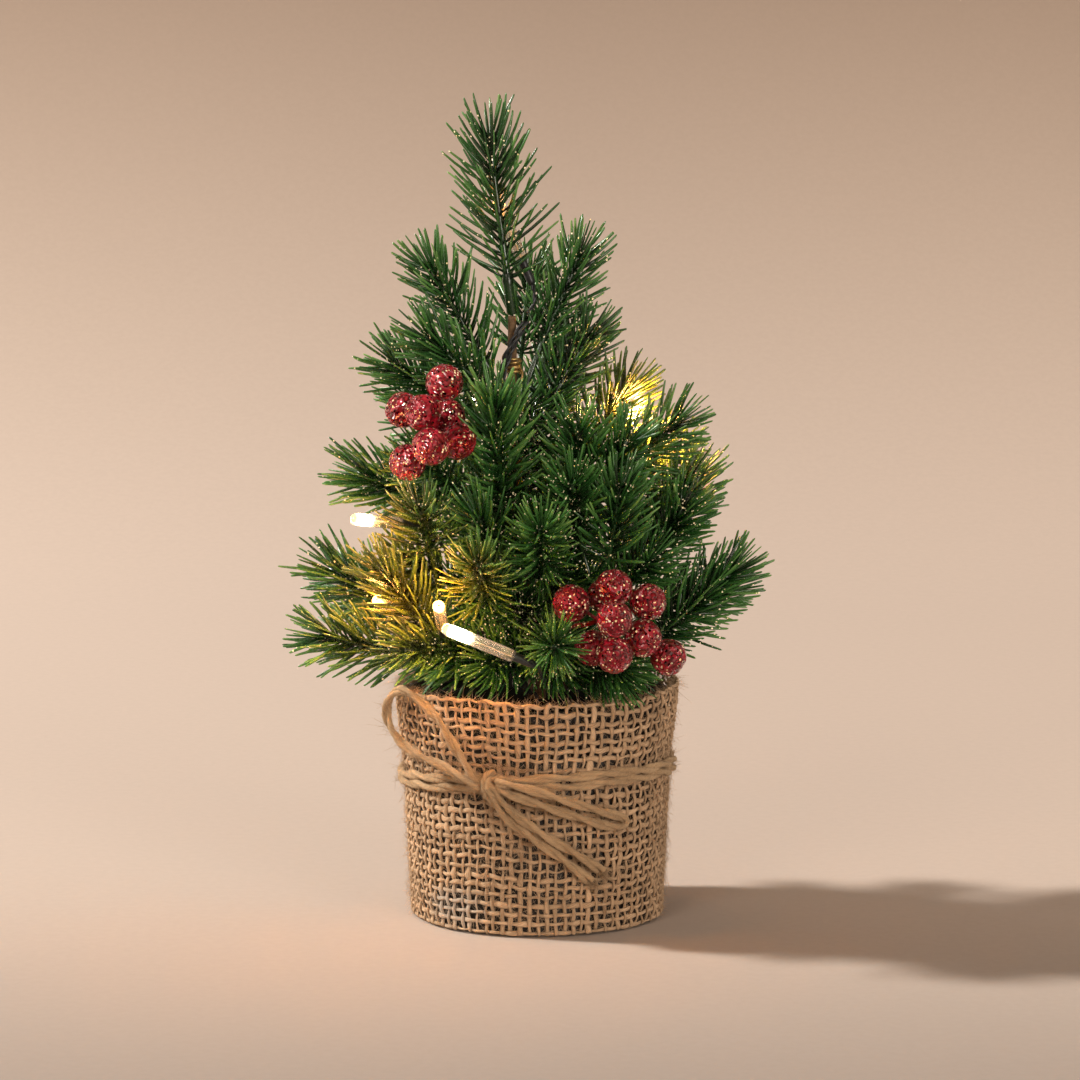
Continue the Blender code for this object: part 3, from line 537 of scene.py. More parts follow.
def frayedEnd(store, path, count=46):
    # loose fibres where the twine was cut
    end, along = path[-1], unit(path[-1] - path[-8])
    across, upward = strandFrames(path)
    angle = chance.uniform(0, 2 * math.pi, (count, 1))
    away = np.cos(angle) * across[-1] + np.sin(angle) * upward[-1]
    roots = end - along * chance.uniform(0.0, 0.0015, (count, 1)) + away * chance.uniform(0.0003, 0.0014, (count, 1))
    share = np.linspace(0, 1, 5)[None, :, None]
    reach = chance.uniform(0.003, 0.0085, (count, 1, 1))
    heading = unit(along + away * chance.uniform(0.05, 0.55, (count, 1)))
    bend = away * chance.normal(0.05, 0.25, (count, 1))
    points = roots[:, None] + reach * (share * heading[:, None] + share ** 2 * bend[:, None])
    addTubes(store, points, 0.00007 * np.array([[1.2, 1.1, 1.0, 0.8, 0.4]]) * np.ones((count, 1)), sides=3,
             sideways=np.repeat(away[:, None], 5, axis=1) + 0.01, tone=chance.uniform(0.4, 0.9, count))


def makeBow():
    for name, route in bowRoutes.items():
        store, loose = newStore(), newStore()
        isTail = "tail" in name
        path = smoothPath([aroundPot(*point) for point in route], 14)
        path = addTwine(store, path, 0.006 if isTail else None)
        twineFuzz(loose, path, twine["hairs"])
        if isTail:
            frayedEnd(loose, path)
        piece = storeObject(store, name + "_twine", twineJute)
        fuzz = storeObject(loose, name + "_fibres", twineJute)
        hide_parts(name)
        for part in (piece, fuzz):
            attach(part, "root")
        print("bow:", name, round(pathLength(path), 4))


def bandMiddle(angles):
    return twine["bandHeight"] - twine["bandTilt"] * np.sin(angles) + twine["bandRight"] * np.cos(angles)


def makeTwineTurns():
    # two turns that end in the knot
    reach = 3.0
    for name, side in (("twine_turn_upper", 1), ("twine_turn_lower", -1)):
        angles = np.radians(twine["knotAngle"] + np.linspace(reach, 360 - reach, 150))
        sway = 0.00022 * np.sin(angles * 5 + side) + 0.0002 * np.sin(angles * 11)
        heights = bandMiddle(angles) + side * 0.0016 + sway
        radii = wrapRadius(heights) + twine["bandRise"]
        path = np.stack([radii * np.cos(angles), radii * np.sin(angles), heights], axis=1)
        store = newStore()
        path = addTwine(store, path)
        twineFuzz(store, path, 2.2)
        piece = storeObject(store, name + "_jute", twineJute)
        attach(piece, "root")
        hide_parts(name)


# strands of the knot: millimetres to the right, up and outwards from its middle
knotStrands = [
    [(-5.4, 1.6, -2.6), (-3.4, 1.5, 0.6), (-0.6, 0.9, 2.2), (2.6, -1.6, 1.2), (5.0, -4.2, 0.2)],
    [(-4.8, -2.2, -2.0), (-2.8, -1.6, -0.2), (0.4, 1.4, 0.2), (3.2, 2.6, -0.6), (5.2, 2.4, -2.4)],
    [(0.9, 4.2, -2.6), (-0.4, 4.0, 0.8), (-1.2, 1.6, 3.0), (-0.9, -2.0, 3.1), (0.6, -4.4, 1.0), (1.4, -4.6, -2.4)],
    [(-2.6, -4.8, -0.8), (-2.2, -3.6, 1.2), (-1.6, -1.4, 1.6), (-1.5, 1.6, 1.2), (-2.0, 4.2, -0.8)],
]


def makeKnot():
    low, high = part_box("twine_knot")
    middle = np.array((low + high) / 2)
    turn = math.radians(twine["knotAngle"])
    outward = np.array([math.cos(turn), math.sin(turn), 0.0])
    right = np.array([-math.sin(turn), math.cos(turn), 0.0])
    store = newStore()
    for strand in knotStrands:
        points = [middle + 0.84 * mm * (right * x + np.array([0, 0, z]) + outward * y) for x, z, y in strand]
        path = addTwine(store, smoothPath(points, 10))
        twineFuzz(store, path, 4.0)
    piece = storeObject(store, "knot_jute", twineJute)
    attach(piece, "root")
    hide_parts("twine_knot")


makeBow()
makeTwineTurns()
makeKnot()
print("twine")


# ---- burlap round the pot: a plain weave of real yarns

burlap = {
    "warps": 92, "rows": 26, "lowest": 0.0014, "topRow": 0.0908, "halfThick": 0.00040,
    "warpHalf": 0.00080, "weftHalf": 0.00080, "swing": 0.00048, "seamAngle": 96,
    "frayed": (-0.0004, 0.0009), "hairs": 8200, "hairLength": (0.0022, 0.0072), "hairRadius": 0.00006,
}


def slubs(count, length, amount, lumps):
    # soft changes of thickness along each yarn
    knots = chance.normal(1.0, amount, (count, lumps))
    wanted = np.linspace(0, lumps - 1, length)
    return np.clip(np.stack([np.interp(wanted, np.arange(lumps), row) for row in knots]), 0.55, 1.6)


def makeBurlap():
    warps, rows = burlap["warps"], burlap["rows"]
    rowHeights = np.linspace(burlap["lowest"], burlap["topRow"], rows) + chance.normal(0, 0.00022, rows)
    rowHeights.sort()
    seam = math.radians(burlap["seamAngle"])
    warpAngles = seam + (np.arange(warps) + 0.5) * 2 * math.pi / warps + chance.normal(0, 0.006, warps)
    warpAngles.sort()
    waves = chance.uniform(0, 2 * math.pi, 6)

    def drift(angles, heights):
        # how far the weave has been pulled sideways and up or down
        sideways = 0.010 * np.sin(heights * 60 + angles * 2 + waves[0]) + 0.006 * np.sin(heights * 150 + waves[1])
        rise = 0.0007 * np.sin(angles * 3 + waves[2]) + 0.0004 * np.sin(angles * 8 + waves[3])
        above = np.clip((heights - 0.066) / 0.018, 0, 1)
        band = bandMiddle(angles)
        drawnIn = np.exp(-((heights - band) / 0.0065) ** 2)
        puff = 0.00035 * np.sin(angles * 4 + heights * 45 + waves[4]) + 0.0003 + 0.0009 * above - 0.0010 * drawnIn
        sideways = sideways + 0.0055 * np.sin(heights * 420 + angles * 17) * np.sin(angles * 29)
        rise = rise + 0.00035 * np.sin(angles * 41 + heights * 260)
        return sideways, rise * np.clip(heights / 0.02, 0, 1), puff

    def place(angles, heights, crossing):
        sideways, rise, puff = drift(angles, heights)
        radii = wrapRadius(heights) - 0.00088 + puff + crossing
        turned = angles + sideways
        return np.stack([radii * np.cos(turned), radii * np.sin(turned), heights + rise], axis=-1)

    def outward(points):
        flat = points * np.array([1.0, 1.0, 0.0])
        return unit(flat)

    store = newStore()
    # upright yarns
    perRow = 3
    count = (rows - 1) * perRow + 5
    tops = burlap["topRow"] + chance.uniform(*burlap["frayed"], warps)
    position = np.linspace(-0.4, rows - 1 + 0.5, count)[None, :].repeat(warps, 0)
    heights = np.interp(position, np.arange(rows), rowHeights)
    beyond = np.clip(position - (rows - 1), 0, None) / 0.5
    heights = heights + beyond * (tops[:, None] - burlap["topRow"])
    heights[:, 0] = 0.0008
    angles = warpAngles[:, None] + 0.03 * beyond * chance.normal(0, 1.0, (warps, 1))
    cross = burlap["swing"] * np.cos(math.pi * (position + np.arange(warps)[:, None]))
    points = place(angles, heights, cross * (1 - 0.5 * beyond) + beyond * chance.normal(0, 0.0005, (warps, 1)))
    across = np.cross(outward(points), np.array([0, 0, 1.0]))
    width = burlap["warpHalf"] * slubs(warps, count, 0.27, 26) * chance.normal(1.0, 0.14, (warps, 1))
    thick = burlap["halfThick"] * slubs(warps, count, 0.08, 12)
    addTubes(store, points, width, thick, 6, across, tone=chance.normal(0.5, 0.17, warps))
    # yarns that run round
    count = warps * 3 + 4
    position = np.linspace(-0.6, warps - 0.4, count)[None, :].repeat(rows, 0)
    extended = np.concatenate([[warpAngles[-1] - 2 * math.pi], warpAngles, [warpAngles[0] + 2 * math.pi]])
    angles = np.interp(position, np.arange(-1, warps + 1), extended)
    cross = -burlap["swing"] * np.cos(math.pi * (position + np.arange(rows)[:, None]))
    lap = np.clip((position - (warps - 1.2)) / 0.8, 0, 1) * 0.0006
    points = place(angles, rowHeights[:, None] + 0 * angles, cross + lap)
    width = burlap["weftHalf"] * slubs(rows, count, 0.27, 80) * chance.normal(1.0, 0.14, (rows, 1))
    thick = burlap["halfThick"] * slubs(rows, count, 0.08, 40)
    addTubes(store, points, width, thick, 6, np.zeros(3) + np.array([0, 0, 1.0]) + 0 * points,
             tone=chance.normal(0.52, 0.17, rows))
    material = juteMaterial("burlapJute", (0.19, 0.100, 0.045), (0.78, 0.52, 0.315), 1.6)
    addGlueStain(material)
    weave = storeObject(store, "burlap_weave", material)
    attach(weave, "root")
    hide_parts("burlap_wrap")
    fuzz = [makeBurlapFuzz(material, "burlap_fuzz"), makeBurlapFuzz(material, "burlap_fuzz_second")]


def addGlueStain(material):
    # grey dried glue near the foot at the front left
    tree = material.node_tree
    shader = tree.nodes["Principled BSDF"]
    coords = objectCoords(tree)
    offset = addNode(tree, "ShaderNodeMapping", [("Vector", coords, "Object")])
    offset.inputs["Location"].default_value = (0.031 * 60, 0.037 * 60, -0.010 * 105)
    offset.inputs["Scale"].default_value = (60, 60, 105)
    ball = addNode(tree, "ShaderNodeVectorMath", [("Vector", offset, "Vector")], operation="LENGTH")
    noise = addNoise(tree, coords, "Object", 420.0, 4.0)
    edge = maths(tree, "MULTIPLY_ADD", noise.outputs["Fac"], 1.4, ball.outputs["Value"])
    mask = addNode(tree, "ShaderNodeMapRange")
    for key, value in (("From Min", 1.15), ("From Max", 1.75), ("To Min", 0.62), ("To Max", 0.0)):
        mask.inputs[key].default_value = value
    tree.links.new(edge, mask.inputs["Value"])
    before = shader.inputs["Base Color"].links[0].from_socket
    mixed = mixColours(tree, "MIX", mask.outputs["Result"], before, (0.46, 0.41, 0.36))
    tree.links.new(mixed, shader.inputs["Base Color"])


def makeBurlapFuzz(material, name):
    store = newStore()
    count = burlap["hairs"]
    angle = chance.uniform(0, 2 * math.pi, count)
    height = np.clip(chance.uniform(0.0, 1.0, count), 0.01, 1) * (wrapHigh - 0.002)
    high = int(count * 0.16)
    height[:high] = chance.uniform(wrapHigh - 0.004, wrapHigh - 0.0006, high)
    radius = wrapRadius(height) - 0.0006
    roots = np.stack([radius * np.cos(angle), radius * np.sin(angle), height], axis=1)
    outward = unit(roots * np.array([1, 1, 0]))
    outward[:high] = unit(outward[:high] * 0.35 + np.array([0, 0, 1.0]))
    along = np.stack([-np.sin(angle), np.cos(angle), 0.6 * chance.normal(0, 1, count)], axis=1)
    lengths = chance.uniform(*burlap["hairLength"], count) * chance.uniform(0.3, 1.0, count) ** 1.3
    addHairs(store, roots, outward, unit(along), lengths, burlap["hairRadius"], 0.9, 0.85)
    fuzz = storeObject(store, name, material)
    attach(fuzz, "root")
    return fuzz


makeBurlap()


# ---- needle tips: one moulded needle, copied along every branch

needle = {"sides": 6, "bands": 4, "halfWidth": 0.5, "flatness": 0.62, "bend": 0.13}
spray = {
    "perMm": 2.0, "length": 0.0202, "tipLength": 0.0152, "thickness": 0.00156, "stemRadius": 0.0011,
    "leanFoot": 66, "leanMiddle": 51, "leanTip": 28, "short": 0.0122,
}


def makeNeedle():
    # unit long, along Z, swollen near the foot, blunt and bent over towards +X
    deselectAll()
    bpy.ops.mesh.primitive_cone_add(vertices=needle["sides"], radius1=0.36, radius2=0.20, depth=1.0,
                                    location=(0, 0, 0.5), end_fill_type="NGON")
    master = bpy.context.object
    master.name = "needle_master"
    bpy.ops.object.transform_apply(location=True, rotation=True, scale=True)
    for share in range(1, needle["bands"]):
        bpy.ops.object.mode_set(mode="EDIT")
        bpy.ops.mesh.select_all(action="SELECT")
        bpy.ops.mesh.bisect(plane_co=(0, 0, share / needle["bands"]), plane_no=(0, 0, 1))
        bpy.ops.object.mode_set(mode="OBJECT")
    for face in master.data.polygons:
        face.select = face.center.z > 0.999
    bpy.ops.object.mode_set(mode="EDIT")
    bpy.ops.mesh.select_mode(type="FACE")
    bpy.ops.object.mode_set(mode="OBJECT")
    for face in master.data.polygons:
        face.select = face.center.z > 0.999
    bpy.ops.object.mode_set(mode="EDIT")
    bpy.ops.mesh.extrude_region_move(TRANSFORM_OT_translate={"value": (0, 0, 0.03)})
    bpy.ops.transform.resize(value=(0.42, 0.42, 1))
    bpy.ops.object.mode_set(mode="OBJECT")
    swell = {0: 0.8, 1: 1.2, 2: 1.5, 3: 1.6, 4: 1.35}
    for vert in master.data.vertices:
        level = min(int(round(vert.co.z * needle["bands"])), needle["bands"])
        vert.co.x *= swell[level]
        vert.co.y *= swell[level] * needle["flatness"]
        vert.co.x += needle["bend"] * vert.co.z ** 2
    verts = np.array([v.co for v in master.data.vertices])
    faces = [tuple(p.vertices) for p in master.data.polygons]
    bpy.data.objects.remove(master)
    return verts, faces


needleVerts, needleFaces = makeNeedle()
print("needle:", len(needleFaces), "faces")


def needleMaterial():
    # soft moulded plastic with scattered gold and silver flakes; painted shade darkens each needle towards its root,
    # inside the spray, and the flakes glow faintly as painted glints
    material, tree, shader = newMaterial("mouldedNeedles", (0.02, 0.085, 0.02), 0.42, Specular_IOR_Level=0.6)
    coords = objectCoords(tree)
    tone = addNode(tree, "ShaderNodeAttribute", attribute_name="tone")
    reach = addNode(tree, "ShaderNodeAttribute", attribute_name="reach")
    patches = addNoise(tree, coords, "Object", 75.0, 3.0)
    fine = addNoise(tree, coords, "Object", 900.0, 2.0)
    # painted shade: reach runs from a needle's root to its tip, so the roots come out darker
    shade = maths(tree, "MULTIPLY_ADD", reach.outputs["Fac"], 0.52, -0.24)
    shade = maths(tree, "ADD", shade, maths(tree, "MULTIPLY", tone.outputs["Fac"], 0.50))
    shade = maths(tree, "ADD", shade, maths(tree, "MULTIPLY_ADD", patches.outputs["Fac"], 0.55, -0.16))
    clamp = addNode(tree, "ShaderNodeClamp")
    tree.links.new(shade, clamp.inputs["Value"])
    ramp = colourRamp(tree, clamp, "Result", [
        (0.05, (0.004, 0.018, 0.004)), (0.34, (0.020, 0.088, 0.017)), (0.60, (0.062, 0.190, 0.038)),
        (0.95, (0.20, 0.37, 0.088))])
    flakesAndGlints, kind = glitterMask(tree, coords, 1100.0, 0.060, 48.0)
    gold = mixColours(tree, "MIX", kind, (0.95, 0.62, 0.20), (0.92, 0.88, 0.78))
    coloured = mixColours(tree, "MIX", flakesAndGlints, ramp.outputs["Color"], gold)
    tree.links.new(coloured, shader.inputs["Base Color"])
    tree.links.new(maths(tree, "MULTIPLY", flakesAndGlints, 0.35), shader.inputs["Metallic"])
    tree.links.new(maths(tree, "MULTIPLY_ADD", fine.outputs["Fac"], 0.2, 0.16), shader.inputs["Roughness"])
    # painted glints: the flakes glow a little, so they sparkle even in shade
    shader.inputs["Emission Color"].default_value = (1.0, 0.80, 0.44, 1)
    tree.links.new(maths(tree, "MULTIPLY", flakesAndGlints, 0.50), shader.inputs["Emission Strength"])
    addBump(tree, shader, maths(tree, "ADD", fine.outputs["Fac"], flakesAndGlints), 0.35, 0.00012)
    return material


needlePlastic = needleMaterial()


def jointFoot(body):
    for joint in frame["joints"]:
        if joint["child"] == body:
            return np.array(joint.get("pos_m", joint.get("pos")), float)


def needleRun(node, foot):
    # where the straight needle body of a CAD branch starts and ends
    verts = np.unique(np.round([v.co for v in frame["nodes"][node].data.vertices], 6), axis=0)
    away = np.linalg.norm(verts - foot, axis=1)
    outer = verts[away > 0.6 * away.max()]
    middle = outer.mean(0)
    axis = np.linalg.svd(outer - middle)[2][0]
    for attempt in range(2):
        axis = axis if axis @ (middle - foot) > 0 else -axis
        along = (verts - middle) @ axis
        order = np.argsort(-along)
        rings, ring = [], [order[0]]
        for before, here in zip(order, order[1:]):
            if along[before] - along[here] > 0.0016:
                rings.append(ring)
                ring = []
            ring.append(here)
        rings.append(ring)
        centres = [verts[ring].mean(0) for ring in rings if len(ring) >= 5][:5]
        middle = np.mean(centres, axis=0)
        axis = np.linalg.svd(np.array(centres) - middle)[2][0]
    axis = axis if axis @ (middle - foot) > 0 else -axis
    tip = middle + axis * ((verts - middle) @ axis).max()
    start = tip
    for ring in rings:
        centre = verts[ring].mean(0)
        offAxis = np.linalg.norm(np.cross(centre - middle, axis))
        radius = np.linalg.norm(verts[ring] - centre, axis=1).mean()
        if offAxis > 0.0012 or radius < 0.0018:
            break
        start = middle + axis * ((centre - middle) @ axis)
    return start, tip


def addNeedles(store, start, tip, amount=1.0, size=1.0, brightness=0.5, lean=1.0):
    # needles all round the line from start to tip, closing to a rosette at its end
    axis = unit(tip - start)
    total = np.linalg.norm(tip - start)
    bare = max(total - spray["short"] * size, total * 0.4)
    count = int(spray["perMm"] * amount * total / mm)
    place = (np.arange(count) + chance.uniform(0, 1, count)) / count
    place = 1 - (1 - place) ** 1.12
    guide = np.array([0.0, 0.0, 1.0]) if abs(axis[2]) < 0.9 else np.array([1.0, 0.0, 0.0])
    across = unit(np.cross(axis, guide))
    upward = np.cross(across, axis)
    turn = np.arange(count) * 2.39996 + chance.normal(0, 0.25, count)
    away = np.cos(turn)[:, None] * across + np.sin(turn)[:, None] * upward
    angle = np.interp(place, [0, 0.35, 0.78, 1.0], [spray["leanFoot"], spray["leanMiddle"] + 3,
                                                  spray["leanMiddle"] - 8, spray["leanTip"] + 6])
    angle = np.radians(angle * lean + chance.normal(0, 6.5, count))
    length = np.interp(place, [0, 0.2, 0.7, 1.0], [0.78, 1.0, 0.95, spray["tipLength"] / spray["length"]])
    length = length * spray["length"] * size * chance.normal(1.0, 0.085, count)
    heading = np.cos(angle)[:, None] * axis + np.sin(angle)[:, None] * away
    roots = start + axis * (place * bare)[:, None] + away * spray["stemRadius"] * 0.7
    bendTo = unit(axis - heading * (heading @ axis)[:, None])
    side = np.cross(heading, bendTo)
    thick = spray["thickness"] * chance.normal(1.0, 0.07, count)
    local = needleVerts[None]
    curl = chance.normal(1.0, 0.4, (count, 1))
    bendPart = needle["bend"] * local[..., 2] ** 2
    x = (local[..., 0] - bendPart) * thick[:, None] + bendPart * curl * length[:, None]
    y = local[..., 1] * thick[:, None]
    z = local[..., 2] * length[:, None]
    verts = (roots[:, None] + x[..., None] * bendTo[:, None] + y[..., None] * side[:, None]
             + z[..., None] * heading[:, None])
    size = len(needleVerts)
    for index in range(count):
        base = store["count"] + index * size
        store["faces"].extend(tuple(base + v for v in face) for face in needleFaces)
    store["verts"].append(verts.reshape(-1, 3))
    # painted light and random tone: the brightness lifts or lowers a whole tip, around a random spread per needle
    tones = np.clip(brightness + chance.normal(0, 0.22, count), 0, 1)
    store["tone"].append(np.repeat(tones, size))
    store["reach"].append(np.tile(needleVerts[:, 2], count))
    store["count"] += size * count


def addStem(store, path, radius):
    # a green twig, as plain rings
    path = np.asarray(path)
    stem = newStore()
    addTubes(stem, [path], radius * np.linspace(1.25, 0.8, len(path)), sides=8)
    verts = np.concatenate(stem["verts"])
    for group in stem["quads"] + stem["tris"]:
        store["faces"].extend(tuple(store["count"] + v for v in face) for face in group.tolist())
    store["verts"].append(verts)
    store["tone"].append(np.full(len(verts), 0.22))
    store["reach"].append(np.full(len(verts), 0.35))
    store["count"] += len(verts)


def sprayObject(store, name):
    mesh = bpy.data.meshes.new(name)
    mesh.from_pydata(np.concatenate(store["verts"]).tolist(), [], store["faces"])
    for attribute in ("tone", "reach"):
        layer = mesh.attributes.new(attribute, "FLOAT", "POINT")
        layer.data.foreach_set("value", np.concatenate(store[attribute]).astype(np.float32))
    mesh.shade_smooth()
    mesh.materials.append(needlePlastic)
    piece = bpy.data.objects.new(name, mesh)
    bpy.context.scene.collection.objects.link(piece)
    return piece


def sprayStore():
    return {"verts": [], "faces": [], "tone": [], "reach": [], "count": 0}


def stemCurve(foot, start, tip):
    bend = start - unit(tip - start) * np.linalg.norm(start - foot) * 0.45
    share = np.linspace(0, 1, 14)[:, None]
    return foot * (1 - share) ** 2 + bend * 2 * share * (1 - share) + start * share ** 2


# how full and how bright single tips are, the brightness being painted light: tips at the front and on the left, where
# the light falls, are lighter and those on the right darker; the others take the usual
tipLooks = {
    "leader": (0.98, 1.16, 0.40), "upper_front": (1.15, 1.0, 0.72), "middle_front": (1.2, 0.95, 0.74),
    "bottom_front": (1.15, 0.92, 0.74), "lower_front": (1.1, 1.0, 0.62), "crown_left": (1.0, 1.0, 0.50),
    "crown_right": (1.0, 1.0, 0.52), "upper_left": (1.1, 1.0, 0.50), "middle_left": (1.1, 1.05, 0.48),
    "lower_right": (1.25, 1.1, 0.42), "bottom_right": (1.2, 1.05, 0.42), "bottom_left": (1.1, 1.02, 0.55),
}
usualLook = (1.05, 1.0, 0.46)
# how far the needles stop short of the end of the tip
trimmed = {"bottom_left": 0.0050, "bottom_right": 0.0050}
runs = {}


def makeTips():
    for body in frame["bodies"]:
        node = "branch_" + body
        if node not in frame["nodes"]:
            continue
        foot = jointFoot(body)
        start, tip = needleRun(node, foot)
        runs[body] = (foot, start, tip)
        amount, size, brightness = tipLooks.get(body, usualLook)
        tip = tip - unit(tip - start) * trimmed.get(body, 0.0)
        store = sprayStore()
        if body == "leader":
            start = foot + (tip - foot) * 0.16
            addStem(store, np.linspace(foot, tip - unit(tip - foot) * spray["short"], 12), 0.0014)
        else:
            addStem(store, np.concatenate([stemCurve(foot, start, tip)[:-1],
                                           np.linspace(start, tip - unit(tip - start) * spray["short"], 8)]),
                    spray["stemRadius"])
        addNeedles(store, start - unit(tip - start) * (0.004 if body != "leader" else 0), tip, amount, size, brightness)
        piece = sprayObject(store, "needles_" + body)
        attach(piece, body)
        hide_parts(node)
        print("tip:", body, "start", np.round(start / mm, 1), "tip", np.round(tip / mm, 1))


# side sprigs that grow from a branch's own stem: branch, share of its stem,
# then foot and tip of the needles in millimetres over the middle of the rim
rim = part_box("pot_shell")[1].z
sprigs = {
    "sprig_upper_right": ("upper_right", 0.7, (6, 3, 114), (26, 10, 150)),
    "sprig_lower_left_front": ("lower_front_left", 0.8, (-41, -38, 62), (-46, -58, 86)),
    "sprig_middle_left_front": ("middle_left", 0.7, (-34, -22, 84), (-52, -36, 104)),
    "sprig_lower_right_side": ("lower_right", 0.7, (44, -4, 52), (62, -22, 84)),
    "sprig_right_low": ("bottom_right", 0.8, (46, -2, 30), (84, 10, 44)),
    "sprig_bottom_left_front": ("bottom_left", 0.7, (-28, -28, 21), (-59, -56, 24)),
    "sprig_bottom_right_front": ("bottom_front", 0.5, (20, -28, 18), (38, -56, 12)),
    "sprig_middle_right_front": ("middle_front_right", 0.6, (16, -30, 66), (12, -60, 96)),
    "sprig_centre_right": ("middle_right", 0.6, (22, -18, 78), (40, -32, 112)),
    "sprig_left_low": ("lower_left", 0.7, (-52, 6, 30), (-84, 24, 44)),
    "sprig_left_mid": ("upper_left", 0.7, (-34, 6, 100), (-58, 22, 120)),
    "sprig_left_behind": ("middle_left", 0.6, (-34, 8, 70), (-62, 30, 88)),
    "sprig_right_behind": ("middle_right", 0.7, (34, 6, 78), (62, 30, 100)),
    "sprig_back_left": ("middle_back", 0.7, (-26, 30, 70), (-52, 52, 92)),
    "sprig_back_right": ("lower_back", 0.6, (32, 28, 50), (70, 44, 76)),
    "sprig_back_middle": ("middle_back", 0.5, (8, 32, 66), (20, 64, 88)),
    "sprig_back_high": ("crown_back", 0.6, (4, 14, 116), (18, 36, 146)),
    "sprig_back_high_left": ("upper_back", 0.6, (-10, 20, 98), (-30, 44, 124)),
    "sprig_back_low": ("bottom_back", 0.6, (-4, 38, 24), (2, 80, 34)),
    "sprig_back_low_left": ("bottom_back", 0.8, (-42, 24, 22), (-80, 46, 30)),
    "sprig_back_low_right": ("lower_back", 0.7, (36, 30, 30), (70, 58, 30)),
    "sprig_front_fill": ("lower_front", 0.6, (-12, -24, 46), (-26, -50, 84)),
    "sprig_right_fill": ("lower_right", 0.5, (28, -16, 40), (50, -40, 62)),
    "sprig_left_gap": ("lower_left", 0.5, (-32, -12, 44), (-60, -34, 62)),
    "sprig_rim_front": ("bottom_front", 0.3, (3, -18, 14), (14, -47, 16)),
    "sprig_rim_front_left": ("bottom_front", 0.4, (-8, -22, 16), (-22, -53, 19)),
    "sprig_rim_left": ("bottom_left", 0.3, (-18, -16, 16), (-43, -34, 20)),
    "sprig_rim_right": ("bottom_right", 0.3, (20, -14, 12), (42, -36, 14)),
    "sprig_rim_left_side": ("bottom_left", 0.3, (-22, 4, 12), (-54, 8, 16)),
    "sprig_rim_right_side": ("bottom_right", 0.4, (22, 2, 12), (52, 10, 18)),
    "sprig_rim_back": ("bottom_back", 0.3, (2, 20, 12), (-8, 52, 16)),
    "sprig_rim_back_right": ("bottom_back", 0.3, (14, 18, 12), (34, 44, 16)),
}


def makeSprigs():
    for name, (body, share, low, high) in sprigs.items():
        start, tip = (np.array([p[0], p[1], p[2]]) * mm + np.array([0, 0, rim]) for p in (low, high))
        foot, hostStart, hostTip = runs[body]
        stem = stemCurve(foot, hostStart, hostTip)
        root = stem[int(share * (len(stem) - 1))]
        store = sprayStore()
        addStem(store, np.concatenate([stemCurve(root, start, tip)[:-1],
                                       np.linspace(start, tip - unit(tip - start) * spray["short"], 6)]),
                spray["stemRadius"] * 0.9)
        addNeedles(store, start - unit(tip - start) * 0.004, tip, 1.05, 0.97, chance.uniform(0.36, 0.56))
        piece = sprayObject(store, name)
        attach(piece, body)


makeTips()
makeSprigs()
print("needle tips and sprigs:", len(runs), "and", len(sprigs))


# short tufts close to the trunk, so that the pole shows only near the top:
# degrees round the trunk, height over the rim and reach, in millimetres
innerTufts = [
    (-90, 8, 32), (-125, 10, 32), (-60, 10, 32), (-30, 12, 34), (-155, 12, 34), (10, 12, 32), (165, 12, 32),
    (60, 12, 32), (110, 12, 32), (-105, 26, 36), (-75, 44, 36), (-110, 64, 34), (-30, 50, 36), (-150, 54, 34),
    (-95, 22, 34), (-60, 34, 36), (-128, 40, 34), (-88, 56, 36), (-45, 66, 34), (-140, 70, 32), (-100, 84, 30),
    (-62, 92, 28), (-10, 30, 36), (-170, 26, 36), (0, 62, 34), (178, 56, 34), (70, 40, 36), (120, 46, 36),
    (95, 74, 34), (50, 84, 30), (140, 88, 30), (-150, 96, 24), (-75, 104, 22), (20, 100, 26), (90, 104, 26),
]


def trunkAxis(overRim):
    # the pole leans a little to the left as it rises
    share = min(max(overRim / 0.120, 0.0), 1.0)
    return np.array([-0.0096 * math.sin(share * math.pi / 2) ** 1.4, 0.0, rim + overRim])


def makeTufts():
    store = sprayStore()
    for angle, height, reach in innerTufts:
        foot = trunkAxis(height * mm)
        turn = math.radians(angle)
        out = unit(np.array([math.cos(turn), math.sin(turn), 0.55]))
        root = foot + np.array([math.cos(turn), math.sin(turn), 0]) * 0.003
        tip = root + out * reach * mm
        addStem(store, np.linspace(root, tip - out * 0.011, 6), 0.0009)
        addNeedles(store, root + out * 0.005, tip, 0.95, 0.95, 0.36)
    piece = sprayObject(store, "needles_inner_tufts")
    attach(piece, "root")


makeTufts()


# ---- trunk: paper-wrapped pole, golden tie wire and the leader's green sleeve

trunk = {"foot": 0.0036, "top": 0.0016, "above": 0.147, "tapePitch": 0.0046, "sleeveLength": 0.016}


